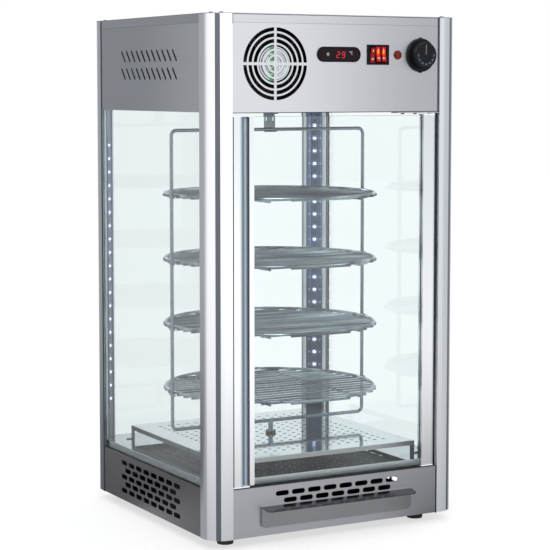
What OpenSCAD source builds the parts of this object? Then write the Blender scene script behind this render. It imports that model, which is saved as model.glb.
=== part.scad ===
// Counter-top heated pizza display case: four aluminium corner posts, a control head,
// a heated base, fixed glass on three sides, a hinged glass door and a turning wire rack.
// X runs right as seen from the front, Y runs to the back, Z runs up from the counter.

/* [Cabinet] */
// Width between the outer faces of the side panels
body_w = 457; // [430:1:520]
// Depth between the outer faces of the front and back panels
body_d = 454; // [430:1:520]
// Height from the underside of the base to the top of the lid
body_h = 820; // [780:1:980]
// Height of the base panels
base_h = 78.5; // [74:0.5:95]
// Height of the head box, lid included
head_h = 152.5; // [149:0.5:180]
// Rise of the cabinet floor above the base panels
floor_rise = 12.5; // [8:0.5:20]
// Thickness of the sheet metal panels
sheet_t = 1.2; // [0.8:0.1:1.5]
// Gap left between assembled sheet parts
fit_gap = 0.3; // [0.2:0.05:0.4]
// Radial clearance of turning pins and shafts
run_gap = 0.05; // [0.03:0.01:0.08]

/* [Corner posts] */
// Width of each leg of a corner post
post_leg = 37.4; // [36:0.1:44]
// Outer corner radius of a post
post_r = 30; // [27:0.5:34]
// How far the posts stand proud of the panels
post_proud = 1; // [0.5:0.1:1.5]
// Depth of a post leg behind the panel plane
post_seat = 9.5; // [9:0.1:12]
// Wall thickness of the post extrusion
post_wall = 2; // [1.5:0.1:2.5]
// Width of the trim groove down each post
groove_w = 8; // [6:0.1:9]
// Depth of the trim groove
groove_d = 2; // [1.6:0.1:2.6]
// Turn of the groove from the corner diagonal towards the front or back
groove_turn = 14; // [0:0.5:16]
// Thickness of the trim strip in the groove
trim_t = 1.2; // [0.8:0.1:1.5]

/* [Lid] */
// Height of the lid skirt between the posts
skirt_h = 14.2; // [10:0.1:18]
// Head diameter of the lid screws
lid_screw_d = 7.6; // [6:0.1:8.5]
// Shank diameter of the lid screws
lid_shank_d = 3.4; // [2.6:0.1:3.6]
// Distance of a lid screw from the nearer panel plane
lid_screw_near = 13.9; // [13.5:0.1:15]
// Distance of a lid screw from the farther panel plane
lid_screw_far = 25.7; // [24.5:0.1:26]

/* [Glazing] */
// Thickness of the fixed glass
glass_t = 4; // [3:0.5:5]
// Setback of the glass behind the panel plane
glass_inset = 3; // [2.5:0.1:3.2]
// Depth of glass held in each post slot
glass_bite = 5; // [3:0.5:6]
// Height of the rubber channels along the glass edges
gasket_h = 10; // [8:0.5:12]

/* [Control panel] */
// Height of the control centre line above the underside of the head
control_rise = 90.5; // [60:0.5:95]
// Fan centre, measured from the middle of the cabinet
fan_x = -115.6; // [-120:0.1:-105]
// Height of the fan centre above the underside of the head
fan_rise = 75; // [64:0.5:76]
// Outer diameter of the slotted fan grille
grille_d = 113; // [100:1:114]
// Width of a grille slot
grille_slot = 6; // [4:0.1:7]
// Width of the bars left between grille slots
grille_bar = 3; // [2:0.1:3.4]
// Width of the cross bars over the grille
grille_cross = 4.5; // [3:0.1:6]
// Side of the square fan housing
fan_size = 120; // [118:1:124]
// Depth of the fan housing
fan_depth = 25; // [25:1:32]
// Diameter of the fan motor cover
fan_cover_d = 60; // [50:1:64]
// Number of fan blades
fan_blades = 7; // [5:1:9]
// Display centre, measured from the middle of the cabinet
display_x = -1; // [-8:0.5:6]
// Width of the display bezel
display_w = 80; // [74:0.5:84]
// Height of the display bezel
display_h = 24; // [22:0.5:30]
// Switch centre, measured from the middle of the cabinet
switch_x = 72; // [68:0.5:76]
// Width of the switch bezel
switch_w = 41; // [39:0.5:44]
// Height of the switch bezel
switch_h = 32; // [30:0.5:36]
// Width of one rocker
rocker_w = 9.6; // [8:0.1:9.8]
// Height of one rocker
rocker_h = 24; // [20:0.5:25]
// Gap between rockers
rocker_gap = 0.8; // [0.5:0.1:1]
// Tilt of a rocker from its middle position
rocker_tilt = 7; // [5:0.5:9]
// Pilot lamp centre, measured from the middle of the cabinet
lamp_x = 109.5; // [105:0.5:112]
// Outer diameter of the pilot lamp ring
lamp_d = 14.5; // [12:0.5:16]
// Knob centre, measured from the middle of the cabinet
knob_x = 153; // [148:0.5:156]
// Diameter of the knob skirt
knob_d = 54; // [46:0.5:56]
// Diameter of the knob grip
knob_grip_d = 43; // [40:0.2:46.8]
// Height of the knob above the panel
knob_h = 18; // [15:0.5:24]
// Diameter of the thermostat shaft
knob_shaft_d = 6; // [5:0.5:7]

/* [Door] */
// Thickness of the door
door_t = 14; // [13.6:0.1:14.4]
// Gap above and below the door
door_gap = 2; // [1.6:0.1:3]
// Width of the handle profile
handle_w = 28.5; // [27:0.5:32]
// Width of the finger recess in the handle profile
recess_w = 10.4; // [8:0.1:12]
// Depth of the finger recess
recess_d = 8.3; // [7:0.1:9]
// Width of the glass channel beside the handle
channel_w = 9.9; // [8:0.1:12]
// Width of the hinge stile
stile_w = 24.7; // [22:0.1:28]
// Gap between the hinge stile and the post
stile_gap = 5.5; // [5:0.1:7]
// Thickness of the door glass
door_glass_t = 5; // [4:0.5:6]
// Diameter of the door pivot pins
pivot_d = 8; // [6:0.5:9]
// Length of the upper pivot plate
pivot_plate_w = 80; // [60:1:90]

/* [Rack] */
// Distance between the upright rods of the rack, centre to centre
rack_w = 367; // [360:1:372]
// Diameter of the rack rod
rack_rod_d = 6; // [5:0.5:7]
// Bend radius of the rack corners
rack_bend = 9; // [8:0.5:14]
// Height of the bottom bar above the deck
rack_low = 21.6; // [18:0.1:30]
// Drop of the top bar below the head
rack_drop = 32.5; // [28:0.5:40]
// Outer diameter of a wire shelf
shelf_d = 357; // [340:1:358]
// Number of wire shelves
shelf_count = 4; // [4:1:4]
// Height of the lowest shelf above the deck
shelf_low = 84; // [80:1:96]
// Distance from one shelf to the next
shelf_pitch = 110; // [100:1:112]
// Diameter of the shelf ring wire
ring_wire_d = 5; // [4:0.5:6]
// Diameter of the shelf grid wires
grid_wire_d = 3.5; // [3:0.5:4.5]
// Distance between grid wires
grid_pitch = 20; // [18:1:40]
// Distance of the cross wires from the middle of a shelf
cross_wire_x = 86; // [70:1:100]
// Diameter of the lower rack pin
rack_pin_d = 8.5; // [7:0.5:9]
// Diameter of the drive shaft
drive_d = 8; // [6:0.5:9]
// Width of the hanger bracket
hanger_w = 21; // [18:1:28]

/* [Deck] */
// Width of the perforated deck
deck_w = 358; // [340:1:364]
// Depth of the perforated deck
deck_d = 352; // [340:1:356]
// Height of the deck above the cabinet floor
deck_rise = 23; // [20:1:28]
// Height of the folded deck edge
deck_lip = 8; // [6:0.5:10]
// Distance between deck holes along a row
hole_pitch = 17.5; // [16:0.5:24]
// Length of a deck hole
hole_l = 6.5; // [5:0.5:8]
// Width of a deck hole
hole_w = 5.5; // [2:0.5:6]
// Plain border round the deck holes
deck_border = 32; // [28:1:50]

/* [Base vents] */
// Length of a vent slot
vent_l = 24; // [18:1:25]
// Height of a vent slot
vent_h = 8; // [6:0.5:8]
// Distance between vent slots along a row
vent_pitch = 29.4; // [27:0.1:31]
// Distance between rows of vent slots
vent_row = 12; // [11:0.5:12]
// Drop of the top vent row below the top of the base panel
vent_drop = 13.5; // [12:0.5:14]
// Length of a louvre slot in the head sides
louvre_l = 25; // [20:0.5:28]
// Width of a louvre slot
louvre_w = 4.4; // [3:0.1:5]
// Distance between louvre slots
louvre_pitch = 19.6; // [16:0.1:21]
// Lean of the louvre slots towards the back
louvre_lean = 40; // [20:1:45]
// Number of louvre slots in a row
louvre_count = 11; // [6:1:12]

/* [Drawer] */
// Drawer centre, measured from the middle of the cabinet
drawer_x = -2; // [-6:0.5:6]
// Width of the drawer front
drawer_w = 280; // [240:1:290]
// Height of the drawer front
drawer_h = 34.5; // [30:0.5:36]
// Height of the drawer front above the underside of the base
drawer_rise = 13; // [13:0.5:15]
// Thickness of the drawer front
drawer_t = 4; // [3:0.5:5]
// Reach of the drawer pull in front of the base panel
pull_reach = 25; // [20:0.5:30]
// Slope of the drawer pull
pull_slope = 11; // [0:1:15]
// Depth of the drawer tray
tray_d = 300; // [240:5:320]

/* [Fittings] */
// Diameter of a rubber foot at the counter
foot_d = 26; // [22:1:30]
// Height of the feet
foot_h = 17; // [14:0.5:24]
// Distance of a foot from the panel planes
foot_inset = 48.5; // [46:0.5:56]
// Width of an LED channel
led_channel_w = 28; // [26:0.5:28]
// Depth of an LED channel
led_channel_d = 2.5; // [2:0.1:2.6]
// Number of LEDs on a strip
led_count = 20; // [12:1:20]
// Distance between LEDs
led_pitch = 23.6; // [20:0.1:24]
// Drop of the first left LED below the head
led_drop_left = 62; // [20:1:70]
// Drop of the first right LED below the head
led_drop_right = 32; // [20:1:70]
// Diameter of the heater tube
heater_d = 8; // [6:0.5:9]
// Outward reach of the cable gland
gland_reach = 12; // [8:0.5:20]
// Bore of the cable gland
gland_bore = 8; // [6:0.5:9]

/* [Hidden] */

steel = "#b9bbc0";
steel_dark = "#8b8e93";
base_grey = "#6b6a70";
aluminium = "#d9dde1";
rubber = "#3f444a";
black = "#1c1d22";
glass_tint = [0.86, 0.94, 0.95, 0.3];
wire = "#9fa8ad";
bronze = "#8a6a45";
white = "#e8eaec";
lamp_red = "#7a2a1c";

// Heights
base_z = foot_h;
base_top = base_z + base_h;
floor_top = base_top + floor_rise;
deck_top = floor_top + deck_rise;
lid_top = base_z + body_h;
post_top = lid_top - sheet_t;
head_z = lid_top - head_h;
panel_top = lid_top - skirt_h - fit_gap;
control_z = head_z + control_rise;
fan_z = head_z + fan_rise;

// Plan
clear_w = body_w - 2 * post_leg;
clear_d = body_d - 2 * post_leg;
front_y = -body_d / 2;
// The origin is midway between the drawer pull and the cable gland
mid_y = (pull_reach - gland_reach) / 2;
corner_sum = post_leg + post_seat;
arc_c = post_r - post_proud;
groove_angle = 225 + groove_turn;
return_d = post_seat - 1.5;
glass_back = glass_inset + glass_t;
liner_in = glass_back + 1 + fit_gap;
ledge_t = sheet_t;
ledge_top = base_top - 9.2;
glass_z0 = ledge_top + 2;
glass_z1 = head_z + 7.5;
door_back = door_t;
sill_in = door_back + 2;
flange_d = sill_in + 4;
small = 0.01;

// Door
handle_x = -clear_w / 2 + 1;
channel_x = handle_x + handle_w;
stile_x1 = clear_w / 2 - stile_gap;
stile_x0 = stile_x1 - stile_w;
door_z0 = base_top + door_gap;
door_z1 = head_z - door_gap - 2.5;
cap_t = 2;
pane_z0 = door_z0 + cap_t;
pane_z1 = door_z1 - cap_t;
pivot_x = stile_x1 - 7.8;
plate_holes = [pivot_x - 52.3, pivot_x - 28.1];
pivot_y = door_t / 2;
pane_y = (door_t - door_glass_t) / 2;
plate_t = 3;
bush_lift = door_gap - fit_gap;

// Rack
rack_x = rack_w / 2;
rack_z0 = deck_top + rack_low;
rack_z1 = head_z - rack_drop;
shelf_z = [for (i = [0 : shelf_count - 1]) deck_top + shelf_low + i * shelf_pitch];
ring_r = (shelf_d - ring_wire_d) / 2;
hook_y = (rack_rod_d + grid_wire_d) / 2 + 0.2;
hanger_top = head_z - 5;
hanger_t = 1.5;

// Drawer
drawer_z0 = base_z + drawer_rise;
drawer_z1 = drawer_z0 + drawer_h;
tray_w = drawer_w - 18;
tray_z0 = drawer_z0 + 4;
tray_z1 = tray_z0 + 22;
tray_t = 1;
runner_gap = 1.2;

module in_cabinet() {
    translate([0, mid_y, 0]) children();
}

// Local frame of a corner: both axes run inwards from the meeting point of the panel planes
module at_corner(side, end) {
    translate([side * body_w / 2, end * body_d / 2, 0])
        scale([-side, -end, 1])
            children();
}

// Local frame of a wall: X runs along it, Y runs inwards from its outer face
module at_front() {
    translate([0, -body_d / 2, 0]) children();
}

module at_back() {
    translate([0, body_d / 2, 0]) rotate([0, 0, 180]) children();
}

module at_left() {
    translate([-body_w / 2, 0, 0]) rotate([0, 0, -90]) children();
}

module at_right() {
    translate([body_w / 2, 0, 0]) rotate([0, 0, 90]) children();
}

// A box that is centred in X only
module strip(width, depth, height, y = 0, z = 0) {
    translate([-width / 2, y, z]) cube([width, depth, height]);
}

// A cylinder along Y that starts at y and runs to the back
module rod_y(radius, length, x = 0, y = 0, z = 0, sides = 48) {
    translate([x, y, z]) rotate([-90, 0, 0]) cylinder(r = radius, h = length, $fn = sides);
}

module rod_x(radius, length, y = 0, z = 0, sides = 32) {
    translate([-length / 2, y, z]) rotate([0, 90, 0]) cylinder(r = radius, h = length, $fn = sides);
}

// A slot with round ends, cut along Y; the slot lies in the XZ plane
module slot_y(length, height, depth, x = 0, y = 0, z = 0) {
    translate([x, y, z])
        rotate([-90, 0, 0])
            linear_extrude(height = depth) {
                square([length - height, height], center = true);
                for (end = [-1, 1])
                    translate([end * (length - height) / 2, 0]) circle(d = height, $fn = 32);
            }
}

// Rows of slots, each second row one slot shorter
module slot_rows(rows, per_row, top_z, depth) {
    for (row = [0 : rows - 1])
        let (count = per_row - row % 2)
            for (i = [0 : count - 1])
                slot_y(vent_l, vent_h, depth,
                       x = (i - (count - 1) / 2) * vent_pitch,
                       y = -1,
                       z = top_z - row * vent_row);
}

// Outline of what lies inside the posts, set in from the panel planes, with cut corners
function liner_outline(side_in, front_in, thin = 0) =
    let (
        hx = body_w / 2 - side_in - thin,
        yf = -body_d / 2 + front_in + thin,
        yb = body_d / 2 - side_in - thin,
        free = corner_sum + 0.5,
        ease = (2 - sqrt(2)) * thin,
        cf = free - side_in - front_in - ease,
        cb = free - 2 * side_in - ease
    )
    [[-hx + cf, yf], [hx - cf, yf], [hx, yf + cf], [hx, yb - cb],
     [hx - cb, yb], [-hx + cb, yb], [-hx, yb - cb], [-hx, yf + cf]];

// Corner posts
module corner_plan() {
    intersection() {
        translate([-post_proud, -post_proud]) square(post_leg + post_proud);
        union() {
            translate([arc_c, arc_c]) circle(r = post_r, $fn = 128);
            translate([arc_c, -post_proud]) square([post_leg - arc_c, post_leg + post_proud]);
            translate([-post_proud, arc_c]) square([post_leg + post_proud, post_leg - arc_c]);
        }
    }
}

module post_section() {
    core = post_leg - 8.5;
    core_sum = corner_sum - (led_channel_d + post_wall) * sqrt(2);
    chamfer_mid = corner_sum / 2;
    difference() {
        intersection() {
            corner_plan();
            polygon([[-post_proud, -post_proud], [post_leg, -post_proud], [post_leg, post_seat],
                     [post_seat, post_leg], [-post_proud, post_leg]]);
        }
        difference() {
            intersection() {
                translate([arc_c, arc_c]) circle(r = post_r - groove_d - post_wall, $fn = 128);
                polygon([[0, 0], [core, 0], [core, core_sum - core], [core_sum - core, core],
                         [0, core]]);
            }
            for (p = [[lid_screw_near, lid_screw_far], [lid_screw_far, lid_screw_near]])
                translate(p) circle(r = lid_shank_d / 2 + post_wall, $fn = 32);
        }
        for (flip = [0, 1])
            mirror([flip, -flip])
                translate([post_leg - glass_bite - 1, glass_inset - fit_gap])
                    square([glass_bite + 2, glass_t + 2 * fit_gap]);
        translate([chamfer_mid, chamfer_mid])
            rotate(-45)
                square([led_channel_w, 2 * led_channel_d], center = true);
        translate([arc_c, arc_c])
            rotate(groove_angle)
                translate([post_r - groove_d, -groove_w / 2])
                    square([groove_d + 2, groove_w]);
    }
}

module post(side, end) {
    bore_depth = 18;
    color(aluminium)
        in_cabinet()
            at_corner(side, end)
                difference() {
                    translate([0, 0, base_z])
                        linear_extrude(height = post_top - base_z) post_section();
                    for (p = [[lid_screw_near, lid_screw_far], [lid_screw_far, lid_screw_near]])
                        translate([p[0], p[1], post_top - bore_depth])
                            cylinder(r = lid_shank_d / 2 + run_gap, h = bore_depth + 1, $fn = 32);
                }
}

module post_front_left() {
    post(-1, -1);
}

module post_front_right() {
    post(1, -1);
}

module post_back_left() {
    post(-1, 1);
}

module post_back_right() {
    post(1, 1);
}

module post_trims() {
    color(rubber)
        in_cabinet()
            for (side = [-1, 1], end = [-1, 1])
                at_corner(side, end)
                    translate([0, 0, base_z])
                        linear_extrude(height = post_top - base_z)
                            translate([arc_c, arc_c])
                                rotate(groove_angle)
                                    translate([post_r - groove_d, -groove_w / 2])
                                        square([trim_t, groove_w]);
}

// Lid and its screws
module lid() {
    color(steel)
        in_cabinet() {
            difference() {
                translate([0, 0, post_top])
                    linear_extrude(height = sheet_t) {
                        square([clear_w + 2 * small, body_d], center = true);
                        square([body_w, clear_d + 2 * small], center = true);
                        for (side = [-1, 1], end = [-1, 1])
                            translate([side * body_w / 2, end * body_d / 2])
                                scale([-side, -end]) corner_plan();
                    }
                for (side = [-1, 1], end = [-1, 1])
                    at_corner(side, end)
                        for (p = [[lid_screw_near, lid_screw_far], [lid_screw_far, lid_screw_near]])
                            translate([p[0], p[1], post_top - 1])
                                cylinder(r = lid_shank_d / 2 + fit_gap, h = sheet_t + 2, $fn = 32);
            }
            at_front() lid_skirt(clear_w);
            at_back() lid_skirt(clear_w);
            at_left() lid_skirt(clear_d);
            at_right() lid_skirt(clear_d);
        }
}

module lid_skirt(clear) {
    strip(clear - 2 * fit_gap, sheet_t, skirt_h - sheet_t / 2, z = lid_top - skirt_h);
}

// A dome head screw that points down, its head resting at the origin
module dome_screw(head_d, head_h, shank_d, shank_l) {
    rotate_extrude($fn = 48)
        intersection() {
            translate([0, head_h - head_d * 0.75]) circle(r = head_d * 0.75, $fn = 64);
            square([head_d / 2, head_h]);
        }
    translate([0, 0, -shank_l]) cylinder(d = shank_d, h = shank_l + 0.5, $fn = 32);
}

module fasteners() {
    color(steel_dark)
        in_cabinet() {
            for (side = [-1, 1], end = [-1, 1])
                at_corner(side, end)
                    for (p = [[lid_screw_near, lid_screw_far], [lid_screw_far, lid_screw_near]])
                        translate([p[0], p[1], lid_top])
                            dome_screw(lid_screw_d, 2.2, lid_shank_d, 14);
            at_front()
                for (x = plate_holes)
                    translate([x, pivot_y + 2, head_z - plate_t])
                        rotate([180, 0, 0]) dome_screw(7, 2, 3.4, plate_t + sheet_t + 2);
        }
}

// Head box
// The folds at both ends stop short of the glass by low and high
module folded_panel(clear, z0, z1, low = 0, high = 0) {
    span = clear - 2 * fit_gap;
    strip(span, sheet_t, z1 - z0, z = z0);
    for (end = [-1, 1])
        translate([end * (span - sheet_t) / 2, 0, 0])
            strip(sheet_t, return_d, z1 - z0 - low - high, z = z0 + low);
}

module head_wall(clear) {
    folded_panel(clear, head_z, panel_top, low = glass_z1 - head_z + fit_gap);
}

module control_fascia() {
    color(steel)
        in_cabinet()
            at_front()
                difference() {
                    union() {
                        folded_panel(clear_w, head_z, panel_top);
                        strip(clear_w - 2 * fit_gap, flange_d, sheet_t, z = head_z);
                    }
                    grille_slots();
                    slot_y(display_w - 3.6, display_h - 3.6, sheet_t + 2, x = display_x, y = -1,
                           z = control_z);
                    translate([switch_x, 0, 0])
                        strip(switch_w - 3.8, sheet_t + 2, switch_h - 3.8, y = -1,
                              z = control_z - (switch_h - 3.8) / 2);
                    rod_y(lamp_d / 2 - 2.3, sheet_t + 2, x = lamp_x, y = -1, z = control_z);
                    rod_y(knob_shaft_d / 2 + 1.8, sheet_t + 2, x = knob_x, y = -1, z = control_z);
                    for (x = plate_holes)
                        translate([x, pivot_y + 2, head_z - 1])
                            cylinder(r = 1.9, h = sheet_t + 2, $fn = 32);
                    translate([pivot_x, pivot_y, head_z - 1])
                        cylinder(r = pivot_d / 2 + 0.5, h = sheet_t + 2, $fn = 48);
                }
}

// Six ring slots, each cut into quarters by the cross bars
module grille_slots() {
    step = grille_slot + grille_bar;
    rings = floor(grille_d / 2 / step);
    difference() {
        for (i = [0 : rings - 1])
            let (outer = grille_d / 2 - i * step)
                difference() {
                    rod_y(outer, sheet_t + 2, x = fan_x, y = -1, z = fan_z, sides = 96);
                    rod_y(outer - grille_slot, sheet_t + 4, x = fan_x, y = -2, z = fan_z, sides = 96);
                }
        translate([fan_x - grille_cross / 2, -3, fan_z - grille_d])
            cube([grille_cross, sheet_t + 6, 2 * grille_d]);
        translate([fan_x - grille_d, -3, fan_z - grille_cross / 2])
            cube([2 * grille_d, sheet_t + 6, grille_cross]);
    }
}

// Two rows of leaning slots; the panel's X axis runs to the front on the left wall
module louvre_rows(toward_front) {
    lean = toward_front * louvre_lean;
    for (row = [0, 1], i = [0 : louvre_count - 1])
        translate([toward_front * 3 + (i - (louvre_count - 1) / 2) * louvre_pitch, 0,
                   head_z + 89.5 - row * 29])
            rotate([0, 90 - lean, 0])
                slot_y(louvre_l, louvre_w, sheet_t + 2, y = -1);
}

module head_panel_left() {
    color(steel_dark)
        in_cabinet()
            at_left()
                difference() {
                    head_wall(clear_d);
                    louvre_rows(1);
                }
}

module head_panel_right() {
    color(steel_dark)
        in_cabinet()
            at_right()
                difference() {
                    head_wall(clear_d);
                    louvre_rows(-1);
                }
}

module head_panel_back() {
    color(steel_dark) in_cabinet() at_back() head_wall(clear_w);
}

module ceiling_panel() {
    rim_h = 12;
    color(steel)
        in_cabinet() {
            difference() {
                translate([0, 0, head_z])
                    linear_extrude(height = sheet_t)
                        polygon(liner_outline(liner_in, flange_d + fit_gap));
                translate([0, 0, head_z - 1]) cylinder(d = drive_d + 4, h = sheet_t + 2, $fn = 48);
                for (i = [0 : 11])
                    translate([(i - 5.5) * 24 - 9, body_d / 2 - 60, head_z - 1])
                        cube([18, 6, sheet_t + 2]);
            }
            difference() {
                translate([0, 0, head_z])
                    linear_extrude(height = rim_h)
                        difference() {
                            polygon(liner_outline(liner_in, flange_d + fit_gap));
                            polygon(liner_outline(liner_in, flange_d + fit_gap, sheet_t));
                        }
                at_front()
                    strip(clear_w + 40, flange_d + 12, rim_h + 2, z = head_z + sheet_t);
            }
        }
}

// Exhaust fan: the motor cover and its struts face the grille, the rotor turns behind them
module fan_housing() {
    cover_y = sheet_t;
    bearing_d = 5;
    color(black)
        in_cabinet()
            at_front() {
                difference() {
                    translate([fan_x, 0, 0])
                        strip(fan_size, fan_depth, fan_size, y = cover_y, z = fan_z - fan_size / 2);
                    rod_y(fan_size / 2 - 2, fan_depth + 4, x = fan_x, y = 0, z = fan_z, sides = 96);
                    for (sx = [-1, 1], sz = [-1, 1])
                        rod_y(2.2, fan_depth + 4, x = fan_x + sx * (fan_size / 2 - 7.5),
                              z = fan_z + sz * (fan_size / 2 - 7.5), sides = 24);
                }
                difference() {
                    union() {
                        rod_y(fan_cover_d / 2, 5, x = fan_x, y = cover_y + 1, z = fan_z, sides = 96);
                        for (turn = [45 : 90 : 315])
                            translate([fan_x, cover_y + 1.5, fan_z])
                                rotate([0, turn, 0])
                                    translate([fan_cover_d / 2 - 2, 0, -2])
                                        cube([(fan_size - fan_cover_d) / 2 + 1.5, 4, 4]);
                    }
                    rod_y(bearing_d / 2, 6, x = fan_x, y = cover_y + 2.5, z = fan_z, sides = 48);
                }
            }
}

module fan_rotor() {
    hub_y = sheet_t + 6.5;
    hub_l = fan_depth - 8;
    hub_r = fan_cover_d / 2 - 1.5;
    blade_r = fan_size / 2 - 3.5;
    color(black)
        in_cabinet()
            at_front() {
                rod_y(hub_r, hub_l, x = fan_x, y = hub_y, z = fan_z, sides = 96);
                rod_y(2.5 - run_gap, 4.5, x = fan_x, y = hub_y - 3.5, z = fan_z, sides = 48);
                intersection() {
                    for (i = [0 : fan_blades - 1])
                        translate([fan_x, hub_y + hub_l / 2, fan_z])
                            rotate([0, i * 360 / fan_blades, 0])
                                rotate([32, 0, 0])
                                    translate([hub_r - 2, -0.9, -14])
                                        cube([blade_r - hub_r + 4, 1.8, 28]);
                    rod_y(blade_r, hub_l - 1, x = fan_x, y = hub_y + 0.5, z = fan_z, sides = 96);
                }
            }
}

module display_module() {
    bezel_t = 1.5;
    color(black)
        in_cabinet()
            at_front() {
                difference() {
                    slot_y(display_w, display_h, bezel_t, x = display_x, y = -bezel_t, z = control_z);
                    slot_y(display_w - 5.6, display_h - 5.6, bezel_t, x = display_x,
                           y = -bezel_t - 0.5, z = control_z);
                }
                slot_y(display_w - 5, display_h - 5, sheet_t + 2, x = display_x, y = -0.5,
                       z = control_z);
                translate([display_x, 0, 0])
                    strip(display_w - 24, 42, display_h - 5.4, y = sheet_t + 1,
                          z = control_z - (display_h - 5.4) / 2);
            }
}

module display_window() {
    color([0.12, 0.03, 0.04])
        in_cabinet()
            at_front()
                slot_y(display_w - 6, display_h - 6, 0.9, x = display_x, y = -1.4, z = control_z);
}

// Switch housing with one window and a cross rod that the three rockers turn on
module switch_housing() {
    window_w = 3 * rocker_w + 2 * rocker_gap + 1;
    window_h = rocker_h + 2.4;
    body_l = 22;
    color(black)
        in_cabinet()
            at_front()
                translate([switch_x, 0, control_z]) {
                    difference() {
                        union() {
                            strip(switch_w, 1.5, switch_h, y = -1.5, z = -switch_h / 2);
                            strip(switch_w - 4.4, body_l, switch_h - 4.4, y = -0.5,
                                  z = -(switch_h - 4.4) / 2);
                        }
                        strip(window_w, body_l - 6, window_h, y = -3, z = -window_h / 2);
                    }
                    rod_x(1, window_w + 2, y = rocker_pivot_y, sides = 32);
                }
}

rocker_pivot_y = 4;

// A rocker with a dished face, turned on its rod by tilt
module rocker(index, tilt) {
    pitch = rocker_w + rocker_gap;
    half = rocker_h / 2;
    color(lamp_red)
        in_cabinet()
            at_front()
                translate([switch_x + index * pitch, rocker_pivot_y, control_z])
                    rotate([tilt, 0, 0])
                        difference() {
                            rotate([90, 0, 90])
                                translate([0, 0, -rocker_w / 2])
                                    linear_extrude(height = rocker_w)
                                        polygon([[-6.6, half], [-5.2, 0], [-6.6, -half],
                                                 [2.5, -half * 0.7], [2.5, half * 0.7]]);
                            rod_x(1 + run_gap, rocker_w + 2, sides = 32);
                        }
}

module rocker_left() {
    rocker(-1, rocker_tilt);
}

module rocker_middle() {
    rocker(0, -rocker_tilt);
}

module rocker_right() {
    rocker(1, -rocker_tilt);
}

module pilot_lamp() {
    color(lamp_red)
        in_cabinet()
            at_front() {
                rod_y(lamp_d / 2, 1.2, x = lamp_x, y = -1.2, z = control_z);
                rod_y(lamp_d / 2 - 2.5, 22, x = lamp_x, y = -0.5, z = control_z);
                translate([lamp_x, -1, control_z])
                    rotate([90, 0, 0])
                        rotate_extrude($fn = 64)
                            intersection() {
                                translate([0, 3 - lamp_d]) circle(r = lamp_d, $fn = 96);
                                square([lamp_d / 2 - 1.6, 5]);
                            }
            }
}

// Thermostat behind the fascia, with its bushing through the panel
module thermostat_body() {
    box = 38;
    color(steel_dark)
        in_cabinet()
            at_front()
                difference() {
                    union() {
                        translate([knob_x, 0, 0])
                            strip(box, 24, box, y = sheet_t, z = control_z - box / 2);
                        rod_y(knob_shaft_d / 2 + 1.5, sheet_t + 0.5, x = knob_x, y = 0,
                              z = control_z);
                    }
                    rod_y(knob_shaft_d / 2 + run_gap, 20, x = knob_x, y = -1, z = control_z);
                }
}

module knob_shaft() {
    color(steel_dark)
        in_cabinet()
            at_front()
                rod_y(knob_shaft_d / 2, knob_h + 8, x = knob_x, y = 5 - knob_h + 4, z = control_z);
}

// Knob with a flat skirt, a ribless grip with a small bevel and two skirt nibs
module knob() {
    skirt_h = 4;
    rise = 0.5;
    bevel = 1.5;
    grip_r = knob_grip_d / 2;
    color(black)
        in_cabinet()
            at_front()
                translate([knob_x, 0, control_z])
                    rotate([90, 0, 0])
                        difference() {
                            union() {
                                rotate_extrude($fn = 96)
                                    polygon([[0, rise], [knob_d / 2, rise],
                                             [knob_d / 2, rise + skirt_h - 1],
                                             [knob_d / 2 - 1, rise + skirt_h],
                                             [grip_r, rise + skirt_h],
                                             [grip_r - 0.6, knob_h - bevel],
                                             [grip_r - 0.6 - bevel, knob_h],
                                             [0, knob_h]]);
                                for (end = [-1, 1])
                                    translate([0, end * knob_d / 2, rise])
                                        cylinder(r = 1.6, h = skirt_h - 1, $fn = 32);
                            }
                            translate([0, 0, -1])
                                cylinder(r = knob_shaft_d / 2 + 0.02, h = knob_h - 2.5, $fn = 48);
                        }
}

// Gear motor on the ceiling; the drive shaft hangs in its output bore
module rack_motor() {
    base_t = 2;
    color(steel_dark)
        in_cabinet()
            translate([0, 0, head_z + sheet_t])
                difference() {
                    union() {
                        strip(80, 60, base_t, y = -30);
                        cylinder(r = 30, h = 16, $fn = 96);
                        translate([0, 10, 15.5]) cylinder(r = 24, h = 24, $fn = 96);
                    }
                    translate([0, 0, -1]) cylinder(r = drive_d / 2 + run_gap, h = 15, $fn = 48);
                    for (sx = [-1, 1])
                        translate([sx * 35, 0, -1]) cylinder(r = 2.2, h = base_t + 2, $fn = 24);
                }
}

module drive_shaft() {
    color(steel)
        in_cabinet() {
            translate([0, 0, hanger_top - hanger_t])
                cylinder(d = drive_d, h = head_z + sheet_t + 12 - hanger_top + hanger_t, $fn = 48);
            translate([0, 0, hanger_top]) cylinder(r = drive_d / 2 + 3, h = 3, $fn = 48);
        }
}

module led_driver() {
    color(white)
        in_cabinet()
            translate([body_w / 2 - 78.5, body_d / 2 - 182, head_z + sheet_t]) strip(44, 150, 28);
}

module terminal_block() {
    color(white)
        in_cabinet()
            translate([78.5 - body_w / 2, body_d / 2 - 97, head_z + sheet_t])
                difference() {
                    strip(24, 90, 20, y = -45);
                    for (i = [0 : 5])
                        translate([0, (i - 2.5) * 14, 8]) cylinder(r = 3, h = 14, $fn = 24);
                }
}

// Fixed glass and its rubber channels
module pane(clear) {
    color(glass_tint)
        strip(clear + 2 * glass_bite, glass_t, glass_z1 - glass_z0, y = glass_inset, z = glass_z0);
}

module glass_left() {
    in_cabinet() at_left() pane(clear_d);
}

module glass_right() {
    in_cabinet() at_right() pane(clear_d);
}

module glass_back() {
    in_cabinet() at_back() pane(clear_w);
}

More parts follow.
